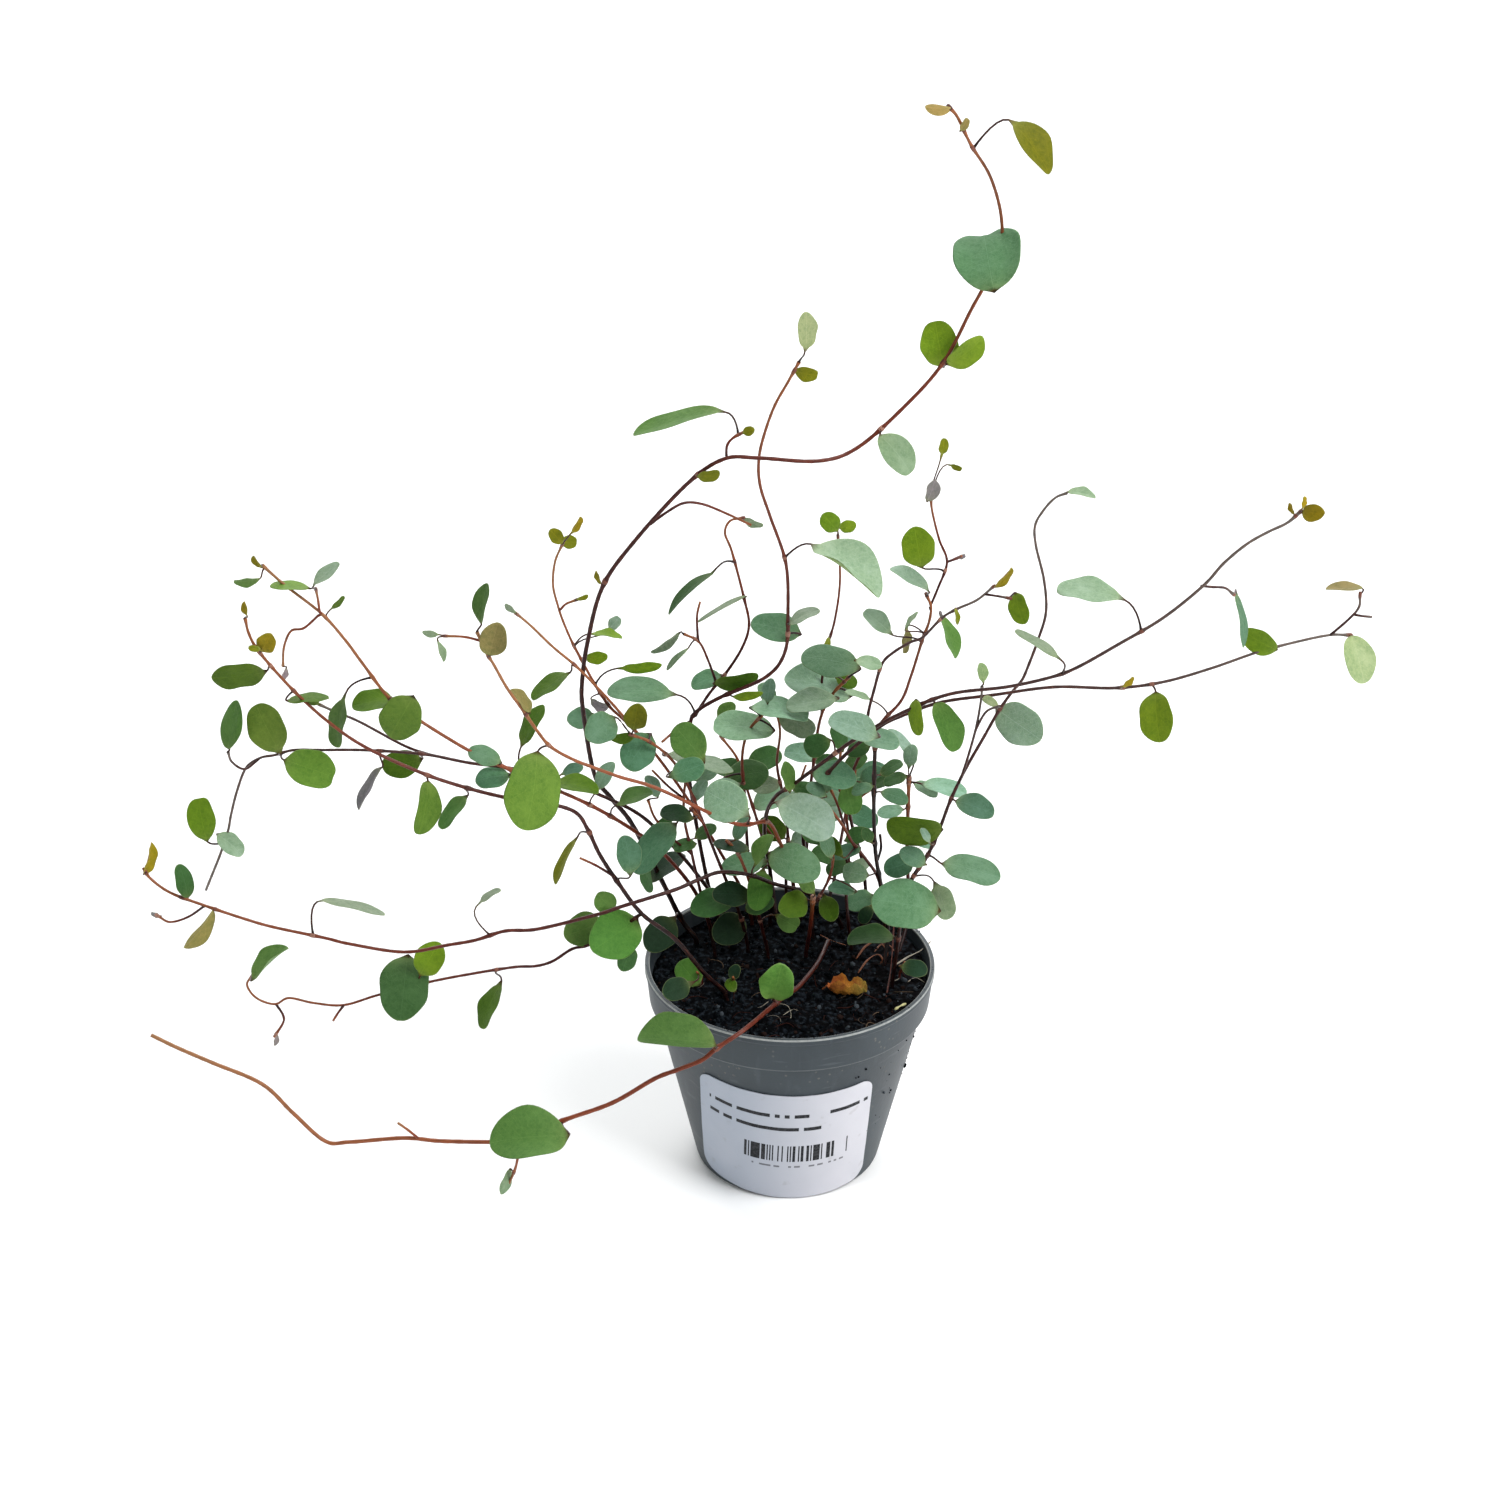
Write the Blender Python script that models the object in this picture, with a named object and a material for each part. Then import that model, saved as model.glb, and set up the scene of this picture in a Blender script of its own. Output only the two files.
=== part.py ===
"""A wire vine in its nursery pot.

Wiry stems stand in black peat in a small tapered pot, arch up and trail to both sides, and
carry small round leaves on thin petioles. The pot's sizes are real ones. The routes of the
stems and the places of the leaves are picked by hand in a 1500 by 1500 photograph, each with
a forward distance from the pot's axis, and a sight line turns them into millimetres.
"""
import math

import bmesh
import bpy
import numpy as np
from mathutils.bvhtree import BVHTree

METRE = 0.001

# Pot, in millimetres: a 9 cm nursery pot
RIM_RADIUS = 45.0
POT_HEIGHT = 69.2
BASE_RADIUS = 29.0
COLLAR_RADIUS = 44.2
COLLAR_DROP = 12.0
BODY_TOP_RADIUS = 41.8
STEP_DROP = 13.0
COLLAR_DRAFT = 0.6
LIP_DROP = 2.2
LIP_STEP = 0.4
LIP_ROUND = 0.3
WALL = 1.2
FLOOR = 2.0
DRAIN_RADIUS = 3.0
DRAIN_RING = 19.0
DRAIN_HOLES = 5
DRAIN_SIDES = 8
DRAIN_CUTTER = 3.0
POT_SIDES = 36

# Room between pieces that touch
GAP = 0.3

# Label: wrapped on the front of the wall
LABEL_TOP_DROP = 23.7
LABEL_HEIGHT = 46.2
LABEL_WIDTH = 56.8
LABEL_CORNER = 4.5
LABEL_THICKNESS = 0.4
LABEL_SIDE = math.radians(-2.9)
LABEL_TILT = math.radians(1.8)
LABEL_COLUMNS = 10
LABEL_ROWS = 3
CORNER_STEPS = 3

# Soil
SOIL_DROP = 6.2
SOIL_BUMP = 0.5
SOIL_SEED = 11
ROOT_DEPTH = 8.0
STRAIGHT = 3.0
HOLE_CLEARANCE = 0.5
HOLE_SIDES = 6
HOLE_RISE = 3.5
SOIL_SIDES = 20
SOIL_RINGS = (0.8, 0.5)

# Sight lines: where the photograph was taken from
CAMERA_AT = np.array([-12.8, -763.3, 546.1])
CAMERA_PITCH = math.radians(27.85)
CAMERA_ROLL = math.radians(0.41)
FOCAL_PIXELS = 2894.0
CENTRE_PIXEL = 750.0

# Stems: points of the curve to each picked one, how far the straight runs may leave it, the
# radii from which they have four sides and five, and how close together the points lie where a
# leaf or a branch may start
CURVE_STEPS = 8
STEM_SLACK = 0.9
WIRY = 0.45
STOUT = 0.72
START_SPACING = 1.5

# Leaves: blade thickness, usual length to width, least and most tilt away from the view
BLADE = 0.62
BLADE_RATIO = 1.3
LEAST_TILT = math.radians(22.0)
MOST_TILT = math.radians(68.0)
SHORT_LEAF = 7.6
LONG_LEAF = 12.0
BOW = 0.05

# Petioles: radius and its share at the root, how far a leaf stands off its stem as a share of
# its length and at least, how they lean along the stem, and how their two ends are pulled
PETIOLE_RADIUS = 0.42
PETIOLE_ROOT = 0.55
STAND_OFF = 0.245
LEAST_STAND_OFF = 2.24
LONG_PETIOLE = 7.0
LEAN = 0.5
STEM_PULL = 0.4
BLADE_PULL = 0.35
PIXEL_SIZE = 0.31
HALF_SIDE = math.sqrt(3) / 2

# Room that a leaf keeps to everything else, to the soil under it and to the ground, and the
# steps along its sight line that are tried for it
ROOM = 0.4
LOW_ROOM = 1.0
SHIFTS = (0.0, 1.2, -1.2, 2.4, -2.4, 3.6, -3.6, 5.0, -5.0, 6.5, -6.5, 8.0, -8.0, 10.0, -10.0,
          12.5, -12.5, 15.0, -15.0, 18.0, -18.0)

# Dry leaf: where it is seen, and how high its middle lies over the soil
DRY_LEAF_AT = (849, 990)
DRY_LEAF_LENGTH = 12.6
DRY_LEAF_WIDTH = 7.2
DRY_LEAF_RISE = 0.75
DRY_STALK = 3.0

SOIL_LEVEL = POT_HEIGHT - SOIL_DROP

# Colour and roughness of each finish
PLASTIC = ((0.075, 0.095, 0.112), 0.55)
PAPER = ((0.78, 0.76, 0.82), 0.6)
PEAT = ((0.012, 0.011, 0.010), 0.95)
FOLIAGE = ((0.16, 0.34, 0.17), 0.5)
WITHERED = ((0.40, 0.19, 0.05), 0.7)


# Scene and meshes

def clear_scene():
    for item in list(bpy.data.objects):
        bpy.data.objects.remove(item)


def material(name, finish):
    colour, roughness = finish
    made = bpy.data.materials.new(name)
    made.use_nodes = True
    shader = made.node_tree.nodes["Principled BSDF"]
    shader.inputs["Base Color"].default_value = (*colour, 1.0)
    shader.inputs["Roughness"].default_value = roughness
    shader.inputs["Metallic"].default_value = 0.0
    return made


def add_object(name, points, faces, finish, smooth=None):
    """Put a mesh in millimetres into the scene in metres."""
    mesh = bpy.data.meshes.new(name)
    mesh.from_pydata((np.asarray(points) * METRE).tolist(), [], faces)
    mesh.materials.append(material(name, finish))
    if smooth is not None:
        mesh.shade_smooth()
        mesh.set_sharp_from_angle(angle=math.radians(smooth))
    made = bpy.data.objects.new(name, mesh)
    bpy.context.scene.collection.objects.link(made)
    return made


def boolean(target, operation, others, solver="EXACT"):
    """Join a collection's objects to the target, or cut them from it, and remove them."""
    tools = bpy.data.collections.new("tools")
    bpy.context.scene.collection.children.link(tools)
    for other in others:
        bpy.context.scene.collection.objects.unlink(other)
        tools.objects.link(other)
    step = target.modifiers.new("join", "BOOLEAN")
    step.operation = operation
    step.operand_type = "COLLECTION"
    step.collection = tools
    step.solver = solver
    graph = bpy.context.evaluated_depsgraph_get()
    joined = bpy.data.meshes.new_from_object(target.evaluated_get(graph))
    target.modifiers.clear()
    target.data = joined
    for other in others:
        bpy.data.objects.remove(other)
    bpy.data.collections.remove(tools)


def turned(profile, sides):
    """Spin a closed (radius, height) outline about Z; a point with radius 0 is a pole."""
    points = []
    rings = []
    angles = [2 * math.pi * k / sides for k in range(sides)]
    for radius, height in profile:
        if radius == 0:
            rings.append([len(points)] * sides)
            points.append((0.0, 0.0, height))
        else:
            rings.append(list(range(len(points), len(points) + sides)))
            points += [(radius * math.cos(a), radius * math.sin(a), height) for a in angles]
    faces = []
    for lower, upper in zip(rings, rings[1:]):
        for k in range(sides):
            n = (k + 1) % sides
            corners = [lower[k], lower[n], upper[n], upper[k]]
            face = list(dict.fromkeys(corners))
            if len(face) > 2:
                faces.append(face)
    return points, faces


# Pot

def body_radius(height):
    """Outer radius of the tapering wall under the step."""
    step_height = POT_HEIGHT - STEP_DROP
    return BASE_RADIUS + (BODY_TOP_RADIUS - BASE_RADIUS) * height / step_height


def make_pot():
    """One shell: flat base, tapering wall, step, collar, rolled lip, and the inside again."""
    step_height = POT_HEIGHT - STEP_DROP
    collar_height = POT_HEIGHT - COLLAR_DROP
    outside = [
        (0.0, 0.0),
        (BASE_RADIUS, 0.0),
        (BODY_TOP_RADIUS, step_height),
        (COLLAR_RADIUS - COLLAR_DRAFT, collar_height),
        (RIM_RADIUS - LIP_STEP, POT_HEIGHT - LIP_DROP),
        (RIM_RADIUS, POT_HEIGHT - LIP_DROP + LIP_ROUND),
        (RIM_RADIUS - LIP_ROUND / 3, POT_HEIGHT),
    ]
    inside = [
        (RIM_RADIUS - WALL - LIP_ROUND, POT_HEIGHT),
        (COLLAR_RADIUS - COLLAR_DRAFT - WALL, collar_height + LIP_STEP),
        (BODY_TOP_RADIUS - WALL, step_height),
        (body_radius(FLOOR) - WALL, FLOOR),
        (0.0, FLOOR),
    ]
    points, faces = turned(outside + inside, POT_SIDES)
    pot = add_object("pot", points, faces, PLASTIC, smooth=35)
    drains = []
    for k in range(DRAIN_HOLES):
        angle = 2 * math.pi * k / DRAIN_HOLES + math.pi / DRAIN_HOLES
        low = -DRAIN_CUTTER
        high = FLOOR + DRAIN_CUTTER
        profile = [(0, low), (DRAIN_RADIUS, low), (DRAIN_RADIUS, high), (0, high)]
        points, faces = turned(profile, DRAIN_SIDES)
        points = np.asarray(points) + [DRAIN_RING * math.cos(angle), DRAIN_RING * math.sin(angle), 0]
        drains.append(add_object("drain", points, faces, PLASTIC))
    boolean(pot, "DIFFERENCE", drains)


# Label

def make_label():
    """A rounded rectangle laid on the cone of the wall, a gap in front of it."""
    outline = []
    half = LABEL_WIDTH / 2
    top = LABEL_HEIGHT / 2
    corners = [(1, 1, 0), (-1, 1, 90), (-1, -1, 180), (1, -1, 270)]
    for side_x, side_y, start in corners:
        for k in range(CORNER_STEPS + 1):
            angle = math.radians(start + 90 * k / CORNER_STEPS)
            outline.append((
                side_x * (half - LABEL_CORNER) + LABEL_CORNER * math.cos(angle),
                side_y * (top - LABEL_CORNER) + LABEL_CORNER * math.sin(angle),
            ))
    mesh = bmesh.new()
    mesh.faces.new([mesh.verts.new((x, y, 0)) for x, y in outline])
    for k in range(1, LABEL_COLUMNS):
        x = -half + LABEL_WIDTH * k / LABEL_COLUMNS
        cut = mesh.faces[:] + mesh.edges[:] + mesh.verts[:]
        bmesh.ops.bisect_plane(mesh, geom=cut, plane_co=(x, 0, 0), plane_no=(1, 0, 0), dist=1e-5)
    for k in range(1, LABEL_ROWS):
        y = -top + LABEL_HEIGHT * k / LABEL_ROWS
        cut = mesh.faces[:] + mesh.edges[:] + mesh.verts[:]
        bmesh.ops.bisect_plane(mesh, geom=cut, plane_co=(0, y, 0), plane_no=(0, 1, 0), dist=1e-5)
    bmesh.ops.triangulate(mesh, faces=mesh.faces[:])
    mesh.verts.index_update()
    flat = np.array([v.co[:2] for v in mesh.verts])
    front = [[v.index for v in f.verts] for f in mesh.faces]
    rim = [(e.verts[0].index, e.verts[1].index, e.link_faces[0]) for e in mesh.edges if e.is_boundary]
    rim = [(a, b) if follows(face, a, b) else (b, a) for a, b, face in rim]
    mesh.free()
    layers = [on_wall(flat, depth) for depth in (GAP, GAP + LABEL_THICKNESS)]
    count = len(flat)
    faces = [[i + count for i in face] for face in front]
    faces += [face[::-1] for face in front]
    faces += [[b, b + count, a + count] for a, b in rim]
    faces += [[b, a + count, a] for a, b in rim]
    add_object("label", np.concatenate(layers), faces, PAPER)


def on_wall(flat, depth):
    """Points of a flat sheet, laid on the tapering wall at a depth in front of it.

    Rolled out flat, the wall is a sector round the cone's point. A spot's distance from that
    point gives its height, and its direction gives the way that it faces.
    """
    taper = math.atan2(BODY_TOP_RADIUS - BASE_RADIUS, POT_HEIGHT - STEP_DROP)
    middle = POT_HEIGHT - LABEL_TOP_DROP - LABEL_HEIGHT / 2 * math.cos(taper)
    across = flat[:, 0] * math.cos(LABEL_TILT) + flat[:, 1] * math.sin(LABEL_TILT)
    upward = flat[:, 1] * math.cos(LABEL_TILT) - flat[:, 0] * math.sin(LABEL_TILT)
    upward += body_radius(middle) / math.sin(taper)
    height = np.hypot(across, upward) * math.cos(taper) - BASE_RADIUS / math.tan(taper)
    angle = np.arctan2(across, upward) / math.sin(taper) + LABEL_SIDE
    radius = (body_radius(height) + depth) / math.cos(math.pi / POT_SIDES)
    return np.stack([radius * np.sin(angle), -radius * np.cos(angle), height], 1)


def follows(face, first, second):
    order = [v.index for v in face.verts]
    return order[(order.index(first) + 1) % len(order)] == second


# Sight lines

def sight(x, y):
    """Direction from the camera through a pixel of the photograph."""
    ahead = np.array([0, math.cos(CAMERA_PITCH), -math.sin(CAMERA_PITCH)])
    level = np.array([1.0, 0, 0])
    upright = np.array([0, math.sin(CAMERA_PITCH), math.cos(CAMERA_PITCH)])
    right = level * math.cos(CAMERA_ROLL) + upright * math.sin(CAMERA_ROLL)
    up = upright * math.cos(CAMERA_ROLL) - level * math.sin(CAMERA_ROLL)
    across = (x - CENTRE_PIXEL) / FOCAL_PIXELS
    raised = (CENTRE_PIXEL - y) / FOCAL_PIXELS
    return ahead + across * right + raised * up, right, up


def place(x, y, forward):
    """The point seen at a pixel, at a distance in front of the pot's axis."""
    ray = sight(x, y)[0]
    return CAMERA_AT + ray * (-forward - CAMERA_AT[1]) / ray[1]


def on_soil(x, y):
    """The point of the soil's surface that is seen at a pixel."""
    ray = sight(x, y)[0]
    return CAMERA_AT + ray * (SOIL_LEVEL - CAMERA_AT[2]) / ray[2]


def unit(vector):
    return vector / np.linalg.norm(vector)


# Stems

def smooth_curve(points):
    """A Catmull-Rom curve through the points."""
    points = np.asarray(points, float)
    ends = np.concatenate([[2 * points[0] - points[1]], points, [2 * points[-1] - points[-2]]])
    share = np.linspace(0, 1, CURVE_STEPS, endpoint=False)[:, None]
    pieces = []
    for a, b, c, d in zip(ends, ends[1:], ends[2:], ends[3:]):
        curve = (2 * b + (c - a) * share + (2 * a - 5 * b + 4 * c - d) * share ** 2
                 + (3 * b - a - 3 * c + d) * share ** 3) / 2
        pieces.append(curve)
    return np.concatenate(pieces + [points[-1:]])


def thinned(points, slack):
    """Leave out the points that lie within the slack of a straight run."""
    if len(points) < 3:
        return points
    run = points[-1] - points[0]
    along = np.clip((points - points[0]) @ run / max(run @ run, 1e-9), 0, 1)[:, None]
    away = np.linalg.norm(points - points[0] - along * run, axis=1)
    far = int(away.argmax())
    if away[far] < slack:
        return points[[0, -1]]
    return np.concatenate([thinned(points[:far + 1], slack)[:-1], thinned(points[far:], slack)])


def straight_runs(curve, rooted):
    """The curve as straight runs. The first of a rooted stem ends above the soil."""
    if not rooted:
        return thinned(curve, STEM_SLACK)
    return np.concatenate([curve[:1], thinned(curve[2 * CURVE_STEPS:], STEM_SLACK)])


def divided(path, spacing):
    """The same run of straight pieces, with points close together."""
    pieces = []
    for a, b in zip(path, path[1:]):
        count = max(int(np.linalg.norm(b - a) / spacing), 1)
        pieces.append(a + (b - a) * np.linspace(0, 1, count, endpoint=False)[:, None])
    return np.concatenate(pieces + [path[-1:]])


def tube(path, radii, sides):
    """A closed tube along a path: rings at right angles to it, with flat ends."""
    path = np.asarray(path, float)
    run = np.gradient(path, axis=0)
    run /= np.linalg.norm(run, axis=1)[:, None]
    # any direction will do that the path doesn't start along
    side = np.cross(run[0], [0.31, 0.17, 0.93])
    angles = 2 * math.pi * np.arange(sides) / sides
    points = []
    for at, ahead, radius in zip(path, run, radii):
        side = unit(side - ahead * (side @ ahead))
        other = np.cross(ahead, side)
        ring = at + radius * (np.cos(angles)[:, None] * side + np.sin(angles)[:, None] * other)
        points.append(ring)
    faces = [list(range(sides))[::-1]]
    for k in range(len(path) - 1):
        for i in range(sides):
            a = k * sides + i
            b = k * sides + (i + 1) % sides
            faces.append([a, b, b + sides, a + sides])
    last = (len(path) - 1) * sides
    faces.append([last + i for i in range(sides)])
    return np.concatenate(points), faces


def trace(route, carrier):
    """Points of a stem from its route, and the way it leaves the soil if it is rooted.

    A root is a pixel on the soil. The stem goes in slanted, half way between upright and the
    way to its next point. A branch starts at the nearest point of the stems laid before.
    """
    points = [place(*row) for row in route[1:]]
    if len(route[0]) == 2:
        foot = on_soil(*route[0])
        way = unit(unit(points[0] - foot) + np.array([0, 0, 1.0]))
        start = [foot - way * ROOT_DEPTH, foot, foot + way * STRAIGHT]
    else:
        foot = place(*route[0])
        way = None
        start = [carrier[np.linalg.norm(carrier - foot, axis=1).argmin()]]
    return smooth_curve(start + points), way


# Leaves

def blade_frame(row, attach):
    """Axes, size and root of a leaf from what is seen of it.

    The apparent length and width against the usual ratio of a leaf give its tilt. A turn of 1
    tilts the upper face to the sky, and of -1 to the ground.
    """
    x, y, length, width, angle, turn = row[:6]
    forward = -attach[1] + (row[6] if len(row) > 6 else 0.0)
    ray, right, up = sight(x, y)
    middle = place(x, y, forward)
    scale = (middle - CAMERA_AT) @ unit(np.cross(up, right)) / FOCAL_PIXELS
    scale = abs(scale)
    view = unit(ray)
    heading = math.cos(math.radians(angle)) * right + math.sin(math.radians(angle)) * up
    heading = unit(heading - view * (heading @ view))
    side = np.cross(view, heading)
    seen_length = length * scale
    seen_width = width * scale
    if seen_length > BLADE_RATIO * seen_width:
        tilt = math.acos(seen_width * BLADE_RATIO / seen_length)
        tilt = min(max(tilt, LEAST_TILT), MOST_TILT)
        real_length = seen_length
        real_width = max(seen_width / math.cos(tilt), seen_width)
        options = [(heading, math.cos(tilt) * side + s * math.sin(tilt) * view) for s in (1, -1)]
    else:
        tilt = math.acos(seen_length / (BLADE_RATIO * seen_width))
        tilt = min(max(tilt, LEAST_TILT), MOST_TILT)
        real_width = seen_width
        real_length = seen_length / math.cos(tilt)
        options = [(math.cos(tilt) * heading + s * math.sin(tilt) * view, side) for s in (1, -1)]
    # the face whose normal points to the camera side is the one that is seen
    normals = []
    for ahead, across in options:
        normal = np.cross(ahead, across)
        normals.append(normal if normal @ view < 0 else -normal)
    best = int(np.argmax([turn * normal[2] for normal in normals]))
    ahead, across = options[best]
    normal = normals[best]
    return middle, unit(ahead), unit(np.cross(normal, ahead)), normal, real_length, real_width


def blade_stations(length):
    """Shares of the length and of the half width of the rings of a blade."""
    if length < SHORT_LEAF:
        return [(0.5, 1.0)]
    if length < LONG_LEAF:
        return [(0.27, 0.9), (0.72, 0.92)]
    return [(0.18, 0.78), (0.5, 1.0), (0.84, 0.72)]


def spine_point(frame, share):
    """A point of the midrib, which bows up between the two ends."""
    middle, ahead, _, normal, length, _ = frame
    return middle + ahead * (share - 0.5) * length + normal * BOW * length * 4 * share * (1 - share)


def leaf_solid(frame, path, radius, thickness):
    """Petiole and blade in one: rings of up to four points, joined one to the next.

    A petiole's ring is a triangle, slimmer where it is sunk in the stem. A blade's ring is
    its two faces, and the tip is one short edge. Points that a ring repeats give no face.
    """
    _, ahead, across, normal, length, width = frame
    points = []
    rings = []
    legs = [unit(b - a) for a, b in zip(path, path[1:])] + [ahead]
    radii = [radius * PETIOLE_ROOT] + [radius] * (len(path) - 1)
    for at, before, after, r in zip(path, legs[:1] + legs, legs, radii):
        way = unit(before + after)
        side = unit(across - way * (across @ way))
        up = np.cross(way, side)
        first = len(points)
        low = at - r * up / 2
        points += [at + r * up, low - r * HALF_SIDE * side, low + r * HALF_SIDE * side]
        rings.append([first, first, first + 1, first + 2])
    top = normal * thickness / 2
    for share, half in blade_stations(length):
        spine = spine_point(frame, share)
        edge = across * half * width / 2
        first = len(points)
        points += [spine + edge + top, spine - edge + top, spine - edge - top, spine + edge - top]
        rings.append([first, first + 1, first + 2, first + 3])
    tip = spine_point(frame, 1.0)
    first = len(points)
    points += [tip + top, tip - top]
    rings.append([first, first, first + 1, first + 1])
    faces = [list(dict.fromkeys(rings[0]))[::-1]]
    for lower, upper in zip(rings, rings[1:]):
        for k in range(4):
            n = (k + 1) % 4
            corners = [lower[k], lower[n], upper[n], upper[k]]
            if k == 2:
                corners = corners[1:] + corners[:1]
            face = list(dict.fromkeys(corners))
            if len(face) > 2:
                faces += [[face[0], b, c] for b, c in zip(face[1:], face[2:])]
    return np.array(points), faces


def petiole_path(frame, attach, stem_ahead):
    """A curve that leaves the stem and meets the blade's root."""
    ahead = frame[1]
    length = frame[4]
    foot = spine_point(frame, 0.0)
    reach = np.linalg.norm(foot - attach)
    leave = unit(unit(foot - attach) + LEAN * stem_ahead)
    first = attach + leave * reach * STEM_PULL
    second = foot - ahead * reach * BLADE_PULL
    steps = 2 if length > LONG_LEAF or reach > LONG_PETIOLE else 1
    share = np.linspace(0, 1, steps + 1)[:, None]
    return ((1 - share) ** 3 * attach + 3 * (1 - share) ** 2 * share * first
            + 3 * (1 - share) * share ** 2 * second + share ** 3 * foot)


def with_reach(row, index):
    """Give a leaf its forward step from the stem, to the front and the back in turn."""
    if len(row) > 6:
        return row
    reach = max(STAND_OFF * row[2] * PIXEL_SIZE, LEAST_STAND_OFF)
    return tuple(row) + (reach if index % 2 == 0 else -reach,)


# Planting: stems first, then each leaf where it is clear of what is there

class Plant:
    """Stems and leaves by vine, with the room that each one keeps to the others."""

    def __init__(self):
        self.vines = []
        self.stems = {}
        self.solids = {}
        self.taken = {}
        self.trees = {}
        self.holes = []
        inner = RIM_RADIUS - WALL - LOW_ROOM - SOIL_BUMP
        outer = RIM_RADIUS + LOW_ROOM
        top = POT_HEIGHT + LOW_ROOM
        wall = [(inner, 0), (outer, 0), (outer, top), (inner, top), (inner, 0)]
        self.keep("pot", "stem", turned(wall, POT_SIDES))
        level = SOIL_LEVEL + LOW_ROOM
        ground = [(0, 0), (inner, 0), (inner, level), (0, level)]
        self.keep("soil", "stem", turned(ground, POT_SIDES))

    def add_vine(self, name, stems, leaves):
        """Lay a vine's stems, and keep its leaves for later."""
        curves = []
        for route, thick, thin in stems:
            carrier = np.concatenate(curves) if curves else None
            curve, way = trace(route, carrier)
            path = straight_runs(curve, way is not None)
            curves.append(divided(path, START_SPACING))
            where = np.linalg.norm(path - path[0], axis=1)
            radii = thick + (thin - thick) * where / where.max()
            sides = 3 + (thick > WIRY) + (thick > STOUT)
            self.solids.setdefault(name, []).append(tube(path, radii, sides))
            self.keep(name, "stem", tube(path, radii + ROOM, sides))
            if way is not None:
                self.holes.append((path[0], way, thick))
        self.stems[name] = curves
        self.vines.append((name, leaves))

    def keep(self, name, kind, solid):
        self.taken.setdefault((name, kind), []).append(solid)
        self.trees.pop((name, kind), None)

    def tree(self, key):
        """All that one vine holds of one kind, ready for crossing tests."""
        if key not in self.trees:
            points = []
            faces = []
            for more, cells in self.taken[key]:
                faces += [[i + len(points) for i in cell] for cell in cells]
                points += np.asarray(more).tolist()
            self.trees[key] = tree_of((points, faces))
        return self.trees[key]

    def crossings(self, name, frame, path):
        """How badly a leaf crosses the others, itself, the soil or the ground.

        Its own stem doesn't count, nor does the start of its petiole in its own vine.
        """
        whole = leaf_solid(frame, path, PETIOLE_RADIUS + ROOM, BLADE + ROOM * 2)
        outer = leaf_solid(frame, path[1:], PETIOLE_RADIUS + ROOM, BLADE + ROOM * 2)
        tested = {False: tree_of(whole), True: tree_of(outer)}
        total = 0
        for key in self.taken:
            if key != (name, "stem"):
                total += len(tested[key[0] == name].overlap(self.tree(key)))
        points, faces = leaf_solid(frame, path, PETIOLE_RADIUS, BLADE)
        here = tree_of((points, faces))
        total += sum(not set(faces[a]) & set(faces[b]) for a, b in here.overlap(here))
        potted = np.hypot(points[:, 0], points[:, 1]) < RIM_RADIUS
        low = np.where(potted, SOIL_LEVEL + LOW_ROOM, LOW_ROOM)
        root = 3
        sunk = int((points[root:, 2] < low[root:]).sum())
        return total + 9 * sunk, whole

    def nearest(self, name, x, y):
        """The point of a vine's stems that lies nearest to a pixel, and the way it runs."""
        best = None
        for curve in self.stems[name]:
            seen = pixels(curve)
            potted = np.hypot(curve[:, 0], curve[:, 1]) < RIM_RADIUS
            buried = potted & (curve[:, 2] < SOIL_LEVEL + LOW_ROOM * 2)
            gaps = np.where(buried, math.inf, np.hypot(seen[:, 0] - x, seen[:, 1] - y))
            at = int(gaps.argmin())
            if best is None or gaps[at] < best[0]:
                ahead = curve[min(at + 1, len(curve) - 1)] - curve[max(at - 1, 0)]
                best = (gaps[at], curve[at], unit(ahead))
        return best[1], best[2]

    def add_leaves(self, name, rows):
        """Lay each leaf, moved along its sight line until it is clear of the others."""
        for index, row in enumerate(rows):
            angle = math.radians(row[4])
            foot_x = row[0] - math.cos(angle) * row[2] / 2
            foot_y = row[1] + math.sin(angle) * row[2] / 2
            attach, ahead = self.nearest(name, foot_x, foot_y)
            row = with_reach(row, index)
            best = None
            for shift in SHIFTS:
                frame = blade_frame(row[:6] + (row[6] + shift,), attach)
                path = petiole_path(frame, attach, ahead)
                crossed, wide = self.crossings(name, frame, path)
                if best is None or crossed < best[0]:
                    best = (crossed, frame, path, wide)
                if crossed == 0:
                    break
            crossed, frame, path, wide = best
            if crossed:
                print("leaf not clear", name, index, row[:2], crossed)
            self.keep(name, "leaf", wide)
            self.solids[name].append(leaf_solid(frame, path, PETIOLE_RADIUS, BLADE))


def tree_of(solid):
    points, faces = solid
    return BVHTree.FromPolygons(np.asarray(points).tolist(), faces)


def pixels(points):
    """Where points are seen in the photograph."""
    ray, right, up = sight(CENTRE_PIXEL, CENTRE_PIXEL)
    away = points - CAMERA_AT
    depth = away @ ray
    x = CENTRE_PIXEL + FOCAL_PIXELS * (away @ right) / depth
    y = CENTRE_PIXEL - FOCAL_PIXELS * (away @ up) / depth
    return np.stack([x, y], 1)


# Each route is (x, y) of its root in the soil, then (x, y, forward). A branch starts with a
# forward distance too, and joins what is there. Thick and thin are the radii of its two ends.
# Each leaf is (x, y, length, width, heading in degrees, turn), all as seen.

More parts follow.
